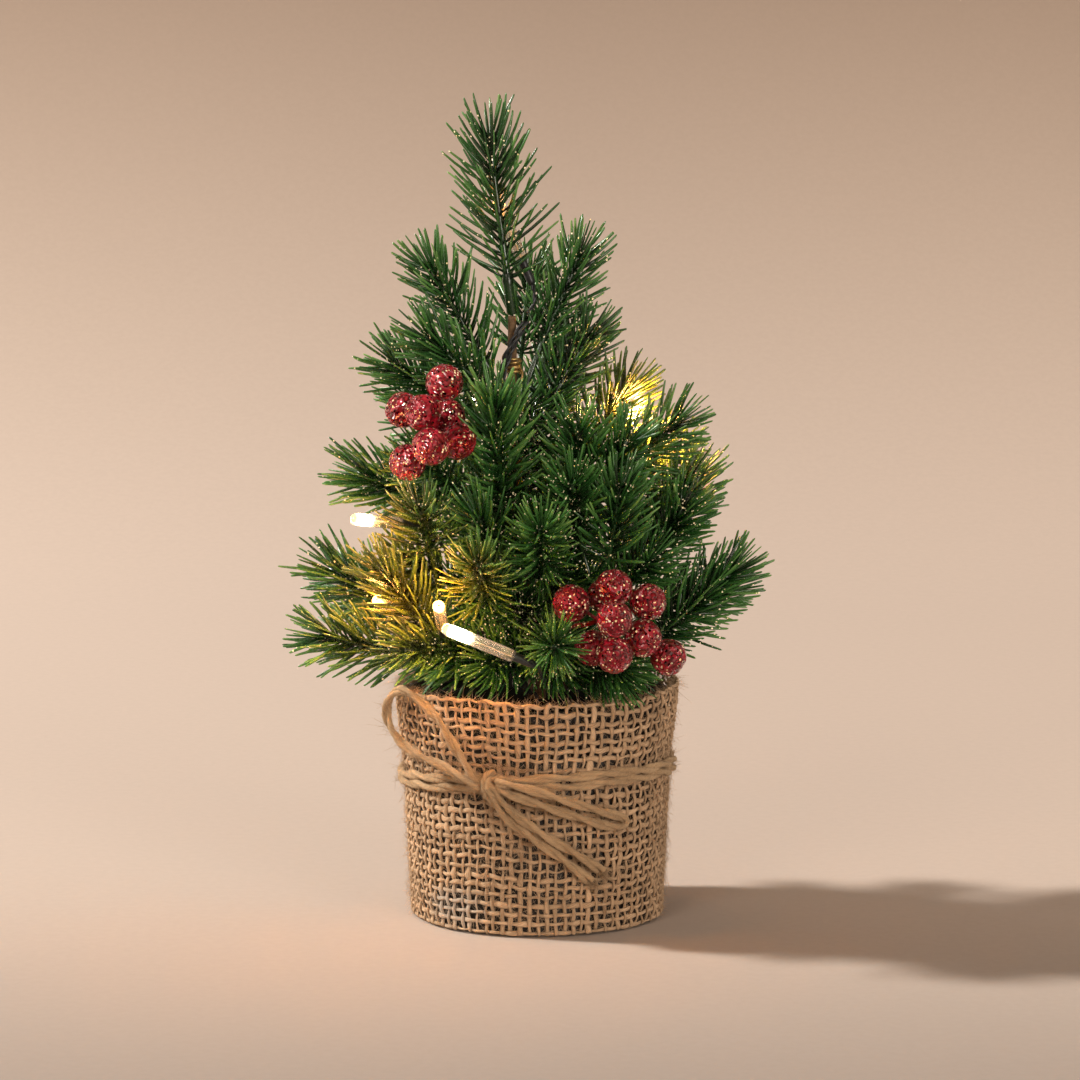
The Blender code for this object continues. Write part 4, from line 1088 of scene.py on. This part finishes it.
def trunkMaterial():
    material, tree, shader = newMaterial("paperTape", (0.16, 0.095, 0.05), 0.78, Specular_IOR_Level=0.25)
    strand = addNode(tree, "ShaderNodeUVMap", uv_map="strand")
    coords = objectCoords(tree)
    split = addNode(tree, "ShaderNodeSeparateXYZ", [("Vector", strand, "UV")])
    turns = maths(tree, "MULTIPLY_ADD", split.outputs["X"], 1 / trunk["tapePitch"], split.outputs["Y"])
    lap = maths(tree, "FRACT", turns)
    noise = addNoise(tree, coords, "Object", 700.0, 5.0, 0.65)
    creases = addNoise(tree, strand, "UV", 1.0, 4.0, 0.6, (700.0, 5.0, 1.0))
    ramp = colourRamp(tree, noise, "Fac", [(0.3, (0.075, 0.042, 0.022)), (0.52, (0.17, 0.10, 0.052)),
                                          (0.75, (0.30, 0.19, 0.10))])
    tree.links.new(ramp.outputs["Color"], shader.inputs["Base Color"])
    height = maths(tree, "ADD", maths(tree, "MULTIPLY", lap, 0.9), maths(tree, "MULTIPLY", creases.outputs["Fac"], 0.7))
    addBump(tree, shader, height, 0.8, 0.0004)
    return material


def makeTrunk():
    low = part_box("trunk_pole")[0].z - rim
    heights = np.linspace(low, trunk["above"], 90)
    path = np.array([trunkAxis(height) for height in heights])
    share = np.clip(heights / trunk["above"], 0, 1)
    radius = trunk["foot"] + (trunk["top"] - trunk["foot"]) * share
    lap = np.mod(heights / trunk["tapePitch"], 1.0)
    store = newStore()
    addTubes(store, [path], radius * (0.965 + 0.03 * lap), sides=20)
    piece = storeObject(store, "trunk_wrapped", trunkMaterial())
    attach(piece, "root")
    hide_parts("trunk_pole")


def makeTieWire():
    # golden wire, twisted round the pole below the leader
    low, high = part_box("binding_wire")
    middle = (low + high) / 2
    store = newStore()
    turnsCount = 7
    share = np.linspace(0, 1, turnsCount * 18)
    angle = share * turnsCount * 2 * math.pi
    radius = 0.0031 + 0.00035 * np.sin(angle * 0.37)
    path = np.stack([middle.x + radius * np.cos(angle), middle.y + radius * np.sin(angle),
                     low.z + 0.0006 + (high.z - low.z - 0.0012) * share + 0.0004 * np.sin(angle * 0.5)], axis=1)
    addTubes(store, [path], 0.00048, sides=8)
    ends = [[(-0.0028, -0.0016, 0.001), (-0.0036, -0.0040, 0.0036), (-0.0020, -0.0052, 0.0066)],
            [(0.0026, -0.0018, 0.0), (0.0040, -0.0036, -0.0022), (0.0036, -0.0050, -0.0052)]]
    for end in ends:
        addTubes(store, [smoothPath([np.array(middle) + np.array(p) for p in end], 8)], 0.00045, sides=8)
    material, tree, shader = newMaterial("goldWire", (0.62, 0.40, 0.13), 0.36, 0.85)
    noise = addNoise(tree, objectCoords(tree), "Object", 1500.0, 3.0)
    ramp = colourRamp(tree, noise, "Fac", [(0.35, (0.34, 0.20, 0.06)), (0.65, (0.80, 0.55, 0.22))])
    tree.links.new(ramp.outputs["Color"], shader.inputs["Base Color"])
    tree.links.new(maths(tree, "MULTIPLY_ADD", noise.outputs["Fac"], 0.4, 0.18), shader.inputs["Roughness"])
    piece = storeObject(store, "tie_wire_gold", material)
    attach(piece, "root")
    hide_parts("binding_wire")


def makeSleeve():
    # the moulded green sleeve at the foot of the leader, turned
    foot, _, tip = runs["leader"]
    deselectAll()
    bpy.ops.mesh.primitive_cylinder_add(vertices=20, radius=0.0019, depth=trunk["sleeveLength"],
                                        location=(0, 0, trunk["sleeveLength"] / 2))
    sleeve = bpy.context.object
    sleeve.name = "leader_sleeve"
    bpy.ops.object.transform_apply(location=True, rotation=True, scale=True)
    for height, side in ((0.72, 1.0), (0.80, 1.0), (0.88, 1.0)):
        bpy.ops.object.mode_set(mode="EDIT")
        bpy.ops.mesh.select_all(action="SELECT")
        bpy.ops.mesh.bisect(plane_co=(0, 0, trunk["sleeveLength"] * height), plane_no=(0, 0, side))
        bpy.ops.object.mode_set(mode="OBJECT")
    for vert in sleeve.data.vertices:
        share = vert.co.z / trunk["sleeveLength"]
        grow = 1.0 + 0.18 * math.exp(-((share - 0.80) / 0.05) ** 2) + 0.10 * (1 - share)
        vert.co.x *= grow
        vert.co.y *= grow
    bevel = sleeve.modifiers.new("edge", "BEVEL")
    bevel.width, bevel.segments = 0.0003, 2
    bpy.ops.object.modifier_apply(modifier="edge")
    axis = Vector(unit(tip - foot))
    turn = Vector((0, 0, 1)).rotation_difference(axis).to_matrix().to_4x4()
    sleeve.data.transform(Matrix.Translation(Vector(foot) + axis * 0.0002) @ turn)
    sleeve.data.shade_smooth()
    sleeve.data.materials.append(needlePlastic)
    tone = sleeve.data.attributes.new("tone", "FLOAT", "POINT")
    tone.data.foreach_set("value", [0.42] * len(sleeve.data.vertices))
    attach(sleeve, "leader")


makeTrunk()
makeTieWire()
makeSleeve()
print("trunk")


# ---- berries: glossy lacquered balls dusted with gold, on red wires

berry = {"radius": 0.0072, "stem": 0.0009, "pimples": 0.00012}
picks = {
    "berry_pick_right": {
        "rootHeight": 27, "hub": (27, -46, 35),
        "berries": [(29, -60, 49), (42, -55, 43), (29, -72, 39), (40, -61, 30), (29, -70, 25),
                    (21, -59, 26), (13, -59, 43), (50, -50, 21), (26, -46, 44)],
    },
    "berry_pick_left": {
        "rootHeight": 100, "hub": (-38, -38, 108),
        "berries": [(-35, -43, 125), (-43, -47, 114), (-51, -36, 114), (-40, -55, 102),
                    (-49, -46, 95), (-34, -33, 111), (-30, -44, 103)],
    },
}


def berryMaterial():
    material, tree, shader = newMaterial("berryLacquer", (0.30, 0.004, 0.012), 0.3, Coat_Weight=0.8,
                                         Coat_Roughness=0.07, Specular_IOR_Level=0.5)
    coords = objectCoords(tree)
    patches = addNoise(tree, coords, "Object", 160.0, 3.0)
    ramp = colourRamp(tree, patches, "Fac", [(0.3, (0.22, 0.001, 0.008)), (0.55, (0.36, 0.004, 0.018)),
                                            (0.8, (0.48, 0.010, 0.028))])
    large, kind = glitterMask(tree, coords, 880.0, 0.13, 130.0)
    small, _ = glitterMask(tree, coords, 1500.0, 0.045)
    flakesAndGlints = maths(tree, "MAXIMUM", large, small)
    gold = mixColours(tree, "MIX", kind, (0.90, 0.55, 0.17), (0.95, 0.86, 0.66))
    coloured = mixColours(tree, "MIX", flakesAndGlints, ramp.outputs["Color"], gold)
    tree.links.new(coloured, shader.inputs["Base Color"])
    tree.links.new(maths(tree, "MULTIPLY", flakesAndGlints, 0.15), shader.inputs["Metallic"])
    # painted glints: the flakes glow a little, so they sparkle even in shade
    shader.inputs["Emission Color"].default_value = (1.0, 0.74, 0.38, 1)
    tree.links.new(maths(tree, "MULTIPLY", flakesAndGlints, 0.42), shader.inputs["Emission Strength"])
    dents = addNoise(tree, coords, "Object", 480.0, 2.0)
    addBump(tree, shader, maths(tree, "ADD", maths(tree, "MULTIPLY", flakesAndGlints, 0.5), dents.outputs["Fac"]), 0.25, 0.00015)
    return material


def makeBerryMaster():
    # a ball with a dimple on top and a short collar where the wire enters
    deselectAll()
    bpy.ops.mesh.primitive_uv_sphere_add(segments=32, ring_count=20, radius=berry["radius"], location=(0, 0, 0))
    master = bpy.context.object
    master.name = "berry_master"
    lowest = -berry["radius"] * 0.97
    for face in master.data.polygons:
        face.select = face.center.z < lowest
    bpy.ops.object.mode_set(mode="EDIT")
    bpy.ops.mesh.select_mode(type="FACE")
    bpy.ops.object.mode_set(mode="OBJECT")
    for face in master.data.polygons:
        face.select = face.center.z < lowest
    bpy.ops.object.mode_set(mode="EDIT")
    bpy.ops.mesh.extrude_region_move(TRANSFORM_OT_translate={"value": (0, 0, -0.0007)})
    bpy.ops.transform.resize(value=(0.85, 0.85, 0.3))
    bpy.ops.object.mode_set(mode="OBJECT")
    for vert in master.data.vertices:
        flat = math.hypot(vert.co.x, vert.co.y)
        if vert.co.z > 0:
            vert.co.z -= 0.0011 * math.exp(-(flat / 0.0016) ** 2)
        vert.co.z *= 0.985
    bpy.ops.object.mode_set(mode="EDIT")
    bpy.ops.mesh.select_all(action="SELECT")
    bpy.ops.mesh.normals_make_consistent(inside=False)
    bpy.ops.object.mode_set(mode="OBJECT")
    master.data.shade_smooth()
    return master


def makeBerries():
    master = makeBerryMaster()
    lacquer = berryMaterial()
    for name, pick in picks.items():
        middle = np.array([0, 0, rim])
        hub = np.array(pick["hub"]) * mm + middle
        centre = trunkAxis(pick["rootHeight"] * mm)
        out = unit(np.array([hub[0] - centre[0], hub[1] - centre[1], 0]))
        root = centre + out * 0.0035
        store = newStore()
        stemPath = smoothPath([root, (root + hub) / 2 - np.array([0, 0, 0.002]), hub], 10)
        addTubes(store, [stemPath], berry["stem"] * 1.1, sides=10)
        for index, place in enumerate(pick["berries"]):
            ball = np.array(place) * mm + middle
            toHub = unit(hub - ball)
            sag = np.array([0, 0, -0.0016])
            enter = ball + toHub * berry["radius"] * 0.9
            if np.linalg.norm(hub - ball) > berry["radius"]:
                twig = smoothPath([hub + toHub * 0.001, (hub + enter) / 2 + sag, enter], 6)
                addTubes(store, [twig], berry["stem"] * 0.8, sides=8)
            copy = bpy.data.objects.new(f"{name}_berry_{index + 1}", master.data.copy())
            bpy.context.scene.collection.objects.link(copy)
            turn = Vector((0, 0, -1)).rotation_difference(Vector(toHub)).to_matrix().to_4x4()
            spin = Matrix.Rotation(index * 1.3, 4, "Z")
            grow = Matrix.Scale(1.0 - 0.02 * (index % 3), 4)
            copy.data.transform(Matrix.Translation(Vector(ball)) @ turn @ spin @ grow)
            copy.data.materials.append(lacquer)
            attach(copy, "root")
        wires = storeObject(store, name + "_wires", lacquer)
        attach(wires, "root")
        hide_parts(name)
    bpy.data.objects.remove(master)


makeBerries()
print("berries")


# ---- lights: clear tubes with a lit core, boots, twisted leads and the cable

led = {
    "radius": 0.0024, "core": 0.00135, "lead": 0.00042, "bootRadius": 0.0017,
    "bootLength": 0.010, "glow": 22.0, "power": 0.135, "warm": (1.0, 0.42, 0.09), "paintedGlowRadius": 0.040,
    # painted light: these shares turn a needle's green into the amber glow painted near a lit tube
    "paintedGlowTint": (("Red", 1.12), ("Green", 0.92), ("Blue", 0.12)),
}
# branch, lead from the trunk to the boot, foot and tip of the tube, in
# millimetres over the middle of the rim; how strong the light is, and how
# much of the tube is lit
lampRoutes = {
    "lamp_left": ("lower_front_left", [(-10, -2, 37), (-32, -18, 55)], (-52, -40, 71), (-70, -50, 74), 0.7, 0.44),
    "lamp_low_front": ("bottom_front", [(6, -12, 6), (2, -46, 12)], (-9, -72, 25), (-35, -80, 37), 0.8, 0.44),
    "lamp_right": ("upper_right", [(-2, 8, 80), (16, 16, 82)], (30, 18, 90), (42, 19, 115), 5.0, 0.5),
    "lamp_small_left": ("lower_left", [(-10, -5, 28), (-34, -11, 25)], (-48, -18, 30), (-62, -34, 41), 0.9, 0.08),
    "lamp_small_front": ("lower_front", [(-5, -10, 28), (-26, -28, 26)], (-36, -44, 32), (-37, -62, 43), 1.1, 0.08),
    "lamp_back_high": ("upper_back", [(-4, 10, 82), (-14, 26, 88)], (-20, 36, 98), (-27, 47, 115), 0.5, 0.46),
    "lamp_back_low": ("lower_back", [(6, 8, 24), (6, 34, 22)], (10, 50, 28), (18, 66, 40), 0.5, 0.46),
    "lamp_top": ("leader", None, None, None, 0.12, 0.09),
}
# sideways and depth from the pole's axis, and height over the rim
topLead, topTube = [(5.6, -0.4, 148), (8.6, 1.6, 152)], [(4.0, 5.4, 168), (-6.0, 7.4, 192)]
cableCrossing = [(-5.6, 2.4, 98), (-6.6, -1.0, 105), (-6.6, -3.2, 112), (-5.6, -5.6, 119), (-4.4, -6.2, 126),
                 (-0.8, -5.2, 136), (4.2, -1.6, 145)]


shineForward = {"lamp_right": 0.014}
paintedGlowSpots = []


def besideTrunk(point):
    return trunkAxis(point[2] * mm) + np.array([point[0] * mm, point[1] * mm, 0])


def ledMaterials():
    clear, tree, shader = newMaterial("clearTube", (0.98, 0.95, 0.90), 0.07, Transmission_Weight=0.92, IOR=1.46)
    noise = addNoise(tree, objectCoords(tree), "Object", 900.0, 2.0)
    tree.links.new(maths(tree, "MULTIPLY_ADD", noise.outputs["Fac"], 0.12, 0.03), shader.inputs["Roughness"])
    lit, tree, shader = newMaterial("litCore", (1.0, 0.85, 0.55), 0.4)
    reach = addNode(tree, "ShaderNodeAttribute", attribute_name="reach")
    ramp = colourRamp(tree, reach, "Fac", [(0.0, (1.0, 0.50, 0.16)), (0.35, (1.0, 0.80, 0.50)),
                                          (1.0, (1.0, 0.90, 0.70))])
    tree.links.new(ramp.outputs["Color"], shader.inputs["Emission Color"])
    power = maths(tree, "MULTIPLY", maths(tree, "POWER", reach.outputs["Fac"], 1.6), led["glow"])
    tree.links.new(maths(tree, "ADD", power, 0.4), shader.inputs["Emission Strength"])
    black, tree, shader = newMaterial("blackWire", (0.012, 0.013, 0.014), 0.38, Specular_IOR_Level=0.5)
    noise = addNoise(tree, objectCoords(tree), "Object", 800.0, 3.0)
    ramp = colourRamp(tree, noise, "Fac", [(0.3, (0.006, 0.007, 0.008)), (0.7, (0.030, 0.032, 0.034))])
    tree.links.new(ramp.outputs["Color"], shader.inputs["Base Color"])
    tree.links.new(maths(tree, "MULTIPLY_ADD", noise.outputs["Fac"], 0.3, 0.22), shader.inputs["Roughness"])
    addBump(tree, shader, noise.outputs["Fac"], 0.2, 0.0002)
    return clear, lit, black


def addTwinWire(store, path, radius, lay=0.0085):
    # two insulated wires laid round each other
    path = evenPath(path, 0.0007)
    across, upward = strandFrames(path)
    run = np.linspace(0, pathLength(path), len(path))
    for ply in range(2):
        turn = (2 * math.pi * run / lay + math.pi * ply)[:, None]
        centre = path + radius * 1.02 * (np.cos(turn) * across + np.sin(turn) * upward)
        addTubes(store, [centre], radius, sides=8)


def makeTubeMaster():
    # clear tube along Z, one unit long: shoulder, straight wall and domed end
    deselectAll()
    bpy.ops.mesh.primitive_cylinder_add(vertices=20, radius=led["radius"], depth=0.0006, location=(0, 0, 0.0003))
    master = bpy.context.object
    master.name = "tube_master"
    bpy.ops.object.transform_apply(location=True, rotation=True, scale=True)
    steps = [(0.30, 1.0), (0.40, 1.0), (0.18, 1.0), (0.07, 0.93), (0.035, 0.78), (0.015, 0.5)]
    for length, grow in steps:
        top = max(v.co.z for v in master.data.vertices)
        for turn in range(2):
            for face in master.data.polygons:
                face.select = face.normal.z > 0.9 and face.center.z > top - 1e-5
            bpy.ops.object.mode_set(mode="EDIT")
            bpy.ops.mesh.select_mode(type="FACE")
            if turn == 0:
                bpy.ops.object.mode_set(mode="OBJECT")
        bpy.ops.mesh.extrude_region_move(TRANSFORM_OT_translate={"value": (0, 0, length)})
        bpy.ops.transform.resize(value=(grow, grow, 1))
        bpy.ops.object.mode_set(mode="OBJECT")
    master.data.shade_smooth()
    return master


def makeLamps():
    clear, lit, black = ledMaterials()
    master = makeTubeMaster()
    middle = np.array([0, 0, rim])
    for name, (body, lead, foot, tip, strength, coreShare) in lampRoutes.items():
        if lead is None:
            lead = [besideTrunk(p) for p in topLead]
            foot, tip = (besideTrunk(p) for p in topTube)
        else:
            lead = [np.array(p) * mm + middle for p in lead]
            foot, tip = (np.array(p) * mm + middle for p in (foot, tip))
        axis = unit(tip - foot)
        length = np.linalg.norm(tip - foot)
        bootLow = foot - axis * led["bootLength"]
        store = newStore()
        addTwinWire(store, smoothPath(lead + [bootLow, foot], 8), led["lead"])
        bootPath = np.linspace(bootLow, foot + axis * 0.0008, 9)
        profile = np.array([0.62, 0.86, 0.98, 1.0, 1.0, 0.99, 1.0, 1.02, 0.98])
        addTubes(store, [bootPath], led["bootRadius"] * profile, sides=14)
        wires = storeObject(store, name + "_leads", black)
        tube = bpy.data.objects.new(name + "_tube", master.data.copy())
        bpy.context.scene.collection.objects.link(tube)
        turn = Vector((0, 0, 1)).rotation_difference(Vector(axis)).to_matrix().to_4x4()
        stretch = Matrix.Diagonal((1, 1, length, 1))
        tube.data.transform(Matrix.Translation(Vector(foot)) @ turn @ stretch)
        tube.data.materials.append(clear)
        core = newStore()
        coreFoot = foot + axis * length * (1 - coreShare)
        coreTip = tip - axis * 0.0009
        share = np.linspace(0, 1, 12)
        bulge = led["core"] * min(1.0, 0.12 + 2.0 * coreShare) * np.sqrt(np.clip(1 - ((share - 0.55) / 0.56) ** 2, 0.05, 1)) * 1.25
        corePath = coreFoot + (coreTip - coreFoot) * share[:, None]
        addTubes(core, [corePath], bulge, sides=14, reach=min(1.0, 2.6 * coreShare)
                 * np.sin(math.pi * np.clip(share * 0.9 + 0.1, 0, 1))[None])
        for side in (-1, 1):
            leg = np.cross(axis, [0, 0, 1.0]) * side * 0.0006
            addTubes(core, [np.linspace(foot + axis * 0.001, coreFoot + axis * 0.002, 4) + leg], 0.0002, sides=6,
                     reach=np.zeros((1, 4)))
        glow = storeObject(core, name + "_core", lit)
        for piece in (wires, tube, glow):
            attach(piece, body)
        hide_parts(name)
        deselectAll()
        spot = coreFoot + (coreTip - coreFoot) * 0.6
        # painted light: round this spot the needles are painted amber, in place of the lamp's glow
        paintedGlowSpots.append((tuple(spot), led["paintedGlowRadius"] if strength > 0.4 else 0.014))
        bpy.ops.object.light_add(type="POINT", location=spot - np.array([0, shineForward.get(name, 0.0), 0]))
        shine = bpy.context.object
        shine.name = name + "_shine"
        shine.data.energy = led["power"] * strength
        shine.data.color = led["warm"]
        shine.data.shadow_soft_size = 0.0055
        shine.parent = frame["bodies"][body]
    bpy.data.objects.remove(master)
    makeCable(black)


def makeCable(black):
    # up through the filling, once round the foot of the pole, then up behind it
    front = -0.0118
    middle = np.array([0, 0, rim])
    route = [np.array([0, front - 0.0045, 0.0107]), np.array([0, front - 0.001, 0.0140]),
             np.array([0, front, 0.0196]), np.array([0, front, rim - 0.007])]
    route += [np.array(p) * mm + middle for p in ((-2.2, front / mm + 1.2, 0.6), (-7.4, -6.6, 2.0), (-9.0, -0.5, 3.0))]
    turn = math.radians(148)
    route += [trunkAxis(0.009 + 0.0165 * step) + 0.0062 * np.array([math.cos(turn), math.sin(turn), 0])
              for step in range(6)]
    route += [besideTrunk(p) for p in cableCrossing]
    store = newStore()
    addTwinWire(store, smoothPath(route, 6), 0.00052, 0.011)
    crossing = smoothPath([besideTrunk(p) for p in cableCrossing[3:]], 8)
    offset = np.array([0.0016, -0.0006, 0.0])
    addTwinWire(store, crossing + offset, 0.00050, 0.012)
    piece = storeObject(store, "light_cable_twin", black)
    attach(piece, "root")
    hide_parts("light_cable")


def paintLampGlowOnNeedles():
    # painted lamp glow: needles close to a lit tube are painted amber, standing in for the tube's warm light
    tree = needlePlastic.node_tree
    shader = tree.nodes["Principled BSDF"]
    coords = objectCoords(tree)
    mask = 0.0
    for spot, radius in paintedGlowSpots:
        near = addNode(tree, "ShaderNodeVectorMath", [("Vector", coords, "Object")], operation="DISTANCE")
        near.inputs[1].default_value = spot
        fade = addNode(tree, "ShaderNodeMapRange", interpolation_type="SMOOTHSTEP")
        for key, value in (("From Min", 0.003), ("From Max", radius), ("To Min", 1.0), ("To Max", 0.0)):
            fade.inputs[key].default_value = value
        tree.links.new(near.outputs["Value"], fade.inputs["Value"])
        mask = maths(tree, "MAXIMUM", mask, fade.outputs["Result"])
    before = shader.inputs["Base Color"].links[0].from_socket
    split = addNode(tree, "ShaderNodeSeparateColor")
    tree.links.new(before, split.inputs["Color"])
    paintedGlowTint = addNode(tree, "ShaderNodeCombineColor")
    for socket, share in led["paintedGlowTint"]:
        tree.links.new(maths(tree, "MULTIPLY", split.outputs["Green"], share), paintedGlowTint.inputs[socket])
    mixed = mixColours(tree, "MIX", maths(tree, "MULTIPLY", mask, 0.80), before, paintedGlowTint.outputs["Color"])
    tree.links.new(mixed, shader.inputs["Base Color"])


makeLamps()
paintLampGlowOnNeedles()
print("lamps and cable")


# ---- pieces inside and under the pot keep their CAD shape and get a finish

def speckledMaterial(name, dark, light, roughness, scale, bump, metallic=0.0, detail=4.0):
    material, tree, shader = newMaterial(name, light, roughness, metallic)
    shader.inputs["Specular IOR Level"].default_value = 0.08 if roughness > 0.9 else 0.5
    coords = objectCoords(tree)
    noise = addNoise(tree, coords, "Object", scale, detail, 0.6)
    ramp = colourRamp(tree, noise, "Fac", [(0.32, dark), (0.68, light)])
    tree.links.new(ramp.outputs["Color"], shader.inputs["Base Color"])
    rough = maths(tree, "MULTIPLY_ADD", noise.outputs["Fac"], 0.25, roughness - 0.12)
    tree.links.new(rough, shader.inputs["Roughness"])
    addBump(tree, shader, noise.outputs["Fac"], bump, 0.0004)
    return material


def cellMaterial():
    # plain jacket: copper-coloured near one end, black for the rest
    material, tree, shader = newMaterial("cellJacket", (0.02, 0.02, 0.02), 0.32, 0.2, Coat_Weight=0.3)
    coords = objectCoords(tree)
    split = addNode(tree, "ShaderNodeSeparateXYZ", [("Vector", coords, "Object")])
    far = maths(tree, "GREATER_THAN", maths(tree, "ABSOLUTE", split.outputs["X"]), 0.012)
    noise = addNoise(tree, coords, "Object", 600.0, 3.0)
    ramp = colourRamp(tree, noise, "Fac", [(0.3, (0.42, 0.20, 0.08)), (0.7, (0.60, 0.32, 0.14))])
    mixed = mixColours(tree, "MIX", far, (0.018, 0.018, 0.020), ramp.outputs["Color"])
    tree.links.new(mixed, shader.inputs["Base Color"])
    tree.links.new(maths(tree, "MULTIPLY_ADD", noise.outputs["Fac"], 0.2, 0.2), shader.inputs["Roughness"])
    return material


def finishCadPieces():
    finishes = {
        # dark plastic, and painted shade: the pot is near black so the gaps in the burlap in front of it read as shade
        "pot_shell": speckledMaterial("potPlasticAndGapShade", (0.010, 0.008, 0.006), (0.030, 0.024, 0.018), 0.55, 240.0, 0.2),
        # painted shade: the foam is made near black, so the inside of the rim reads as shade
        "foam_filler": speckledMaterial("foamWithPaintedShade", (0.001, 0.002, 0.001), (0.007, 0.009, 0.005), 0.98, 900.0, 1.0),
        "ballast_block": speckledMaterial("plaster", (0.30, 0.29, 0.27), (0.52, 0.51, 0.48), 0.92, 320.0, 0.6),
        "base_plate": speckledMaterial("basePlastic", (0.014, 0.014, 0.014), (0.032, 0.032, 0.033), 0.5, 700.0, 0.25),
        "switch_housing": speckledMaterial("switchPlastic", (0.012, 0.012, 0.013), (0.03, 0.03, 0.03), 0.4, 900.0, 0.1),
        "timer_board": speckledMaterial("boardLacquer", (0.010, 0.090, 0.030), (0.020, 0.16, 0.06), 0.35, 500.0, 0.15),
        "switch_knob": speckledMaterial("knobPlastic", (0.45, 0.45, 0.43), (0.62, 0.62, 0.60), 0.45, 900.0, 0.1),
        "battery_spring_1": speckledMaterial("springSteel", (0.42, 0.42, 0.41), (0.74, 0.73, 0.70), 0.30, 900.0, 0.1, 1.0),
    }
    finishes["battery_door"] = finishes["base_plate"]
    for name in ("battery_spring_2", "cell_bridge_plate", "terminal_minus", "terminal_plus"):
        finishes[name] = finishes["battery_spring_1"]
    finishes["battery_1"] = finishes["battery_2"] = cellMaterial()
    for name, material in finishes.items():
        mesh = frame["nodes"][name].data
        mesh.materials.clear()
        mesh.materials.append(material)


finishCadPieces()
print("inside pieces")
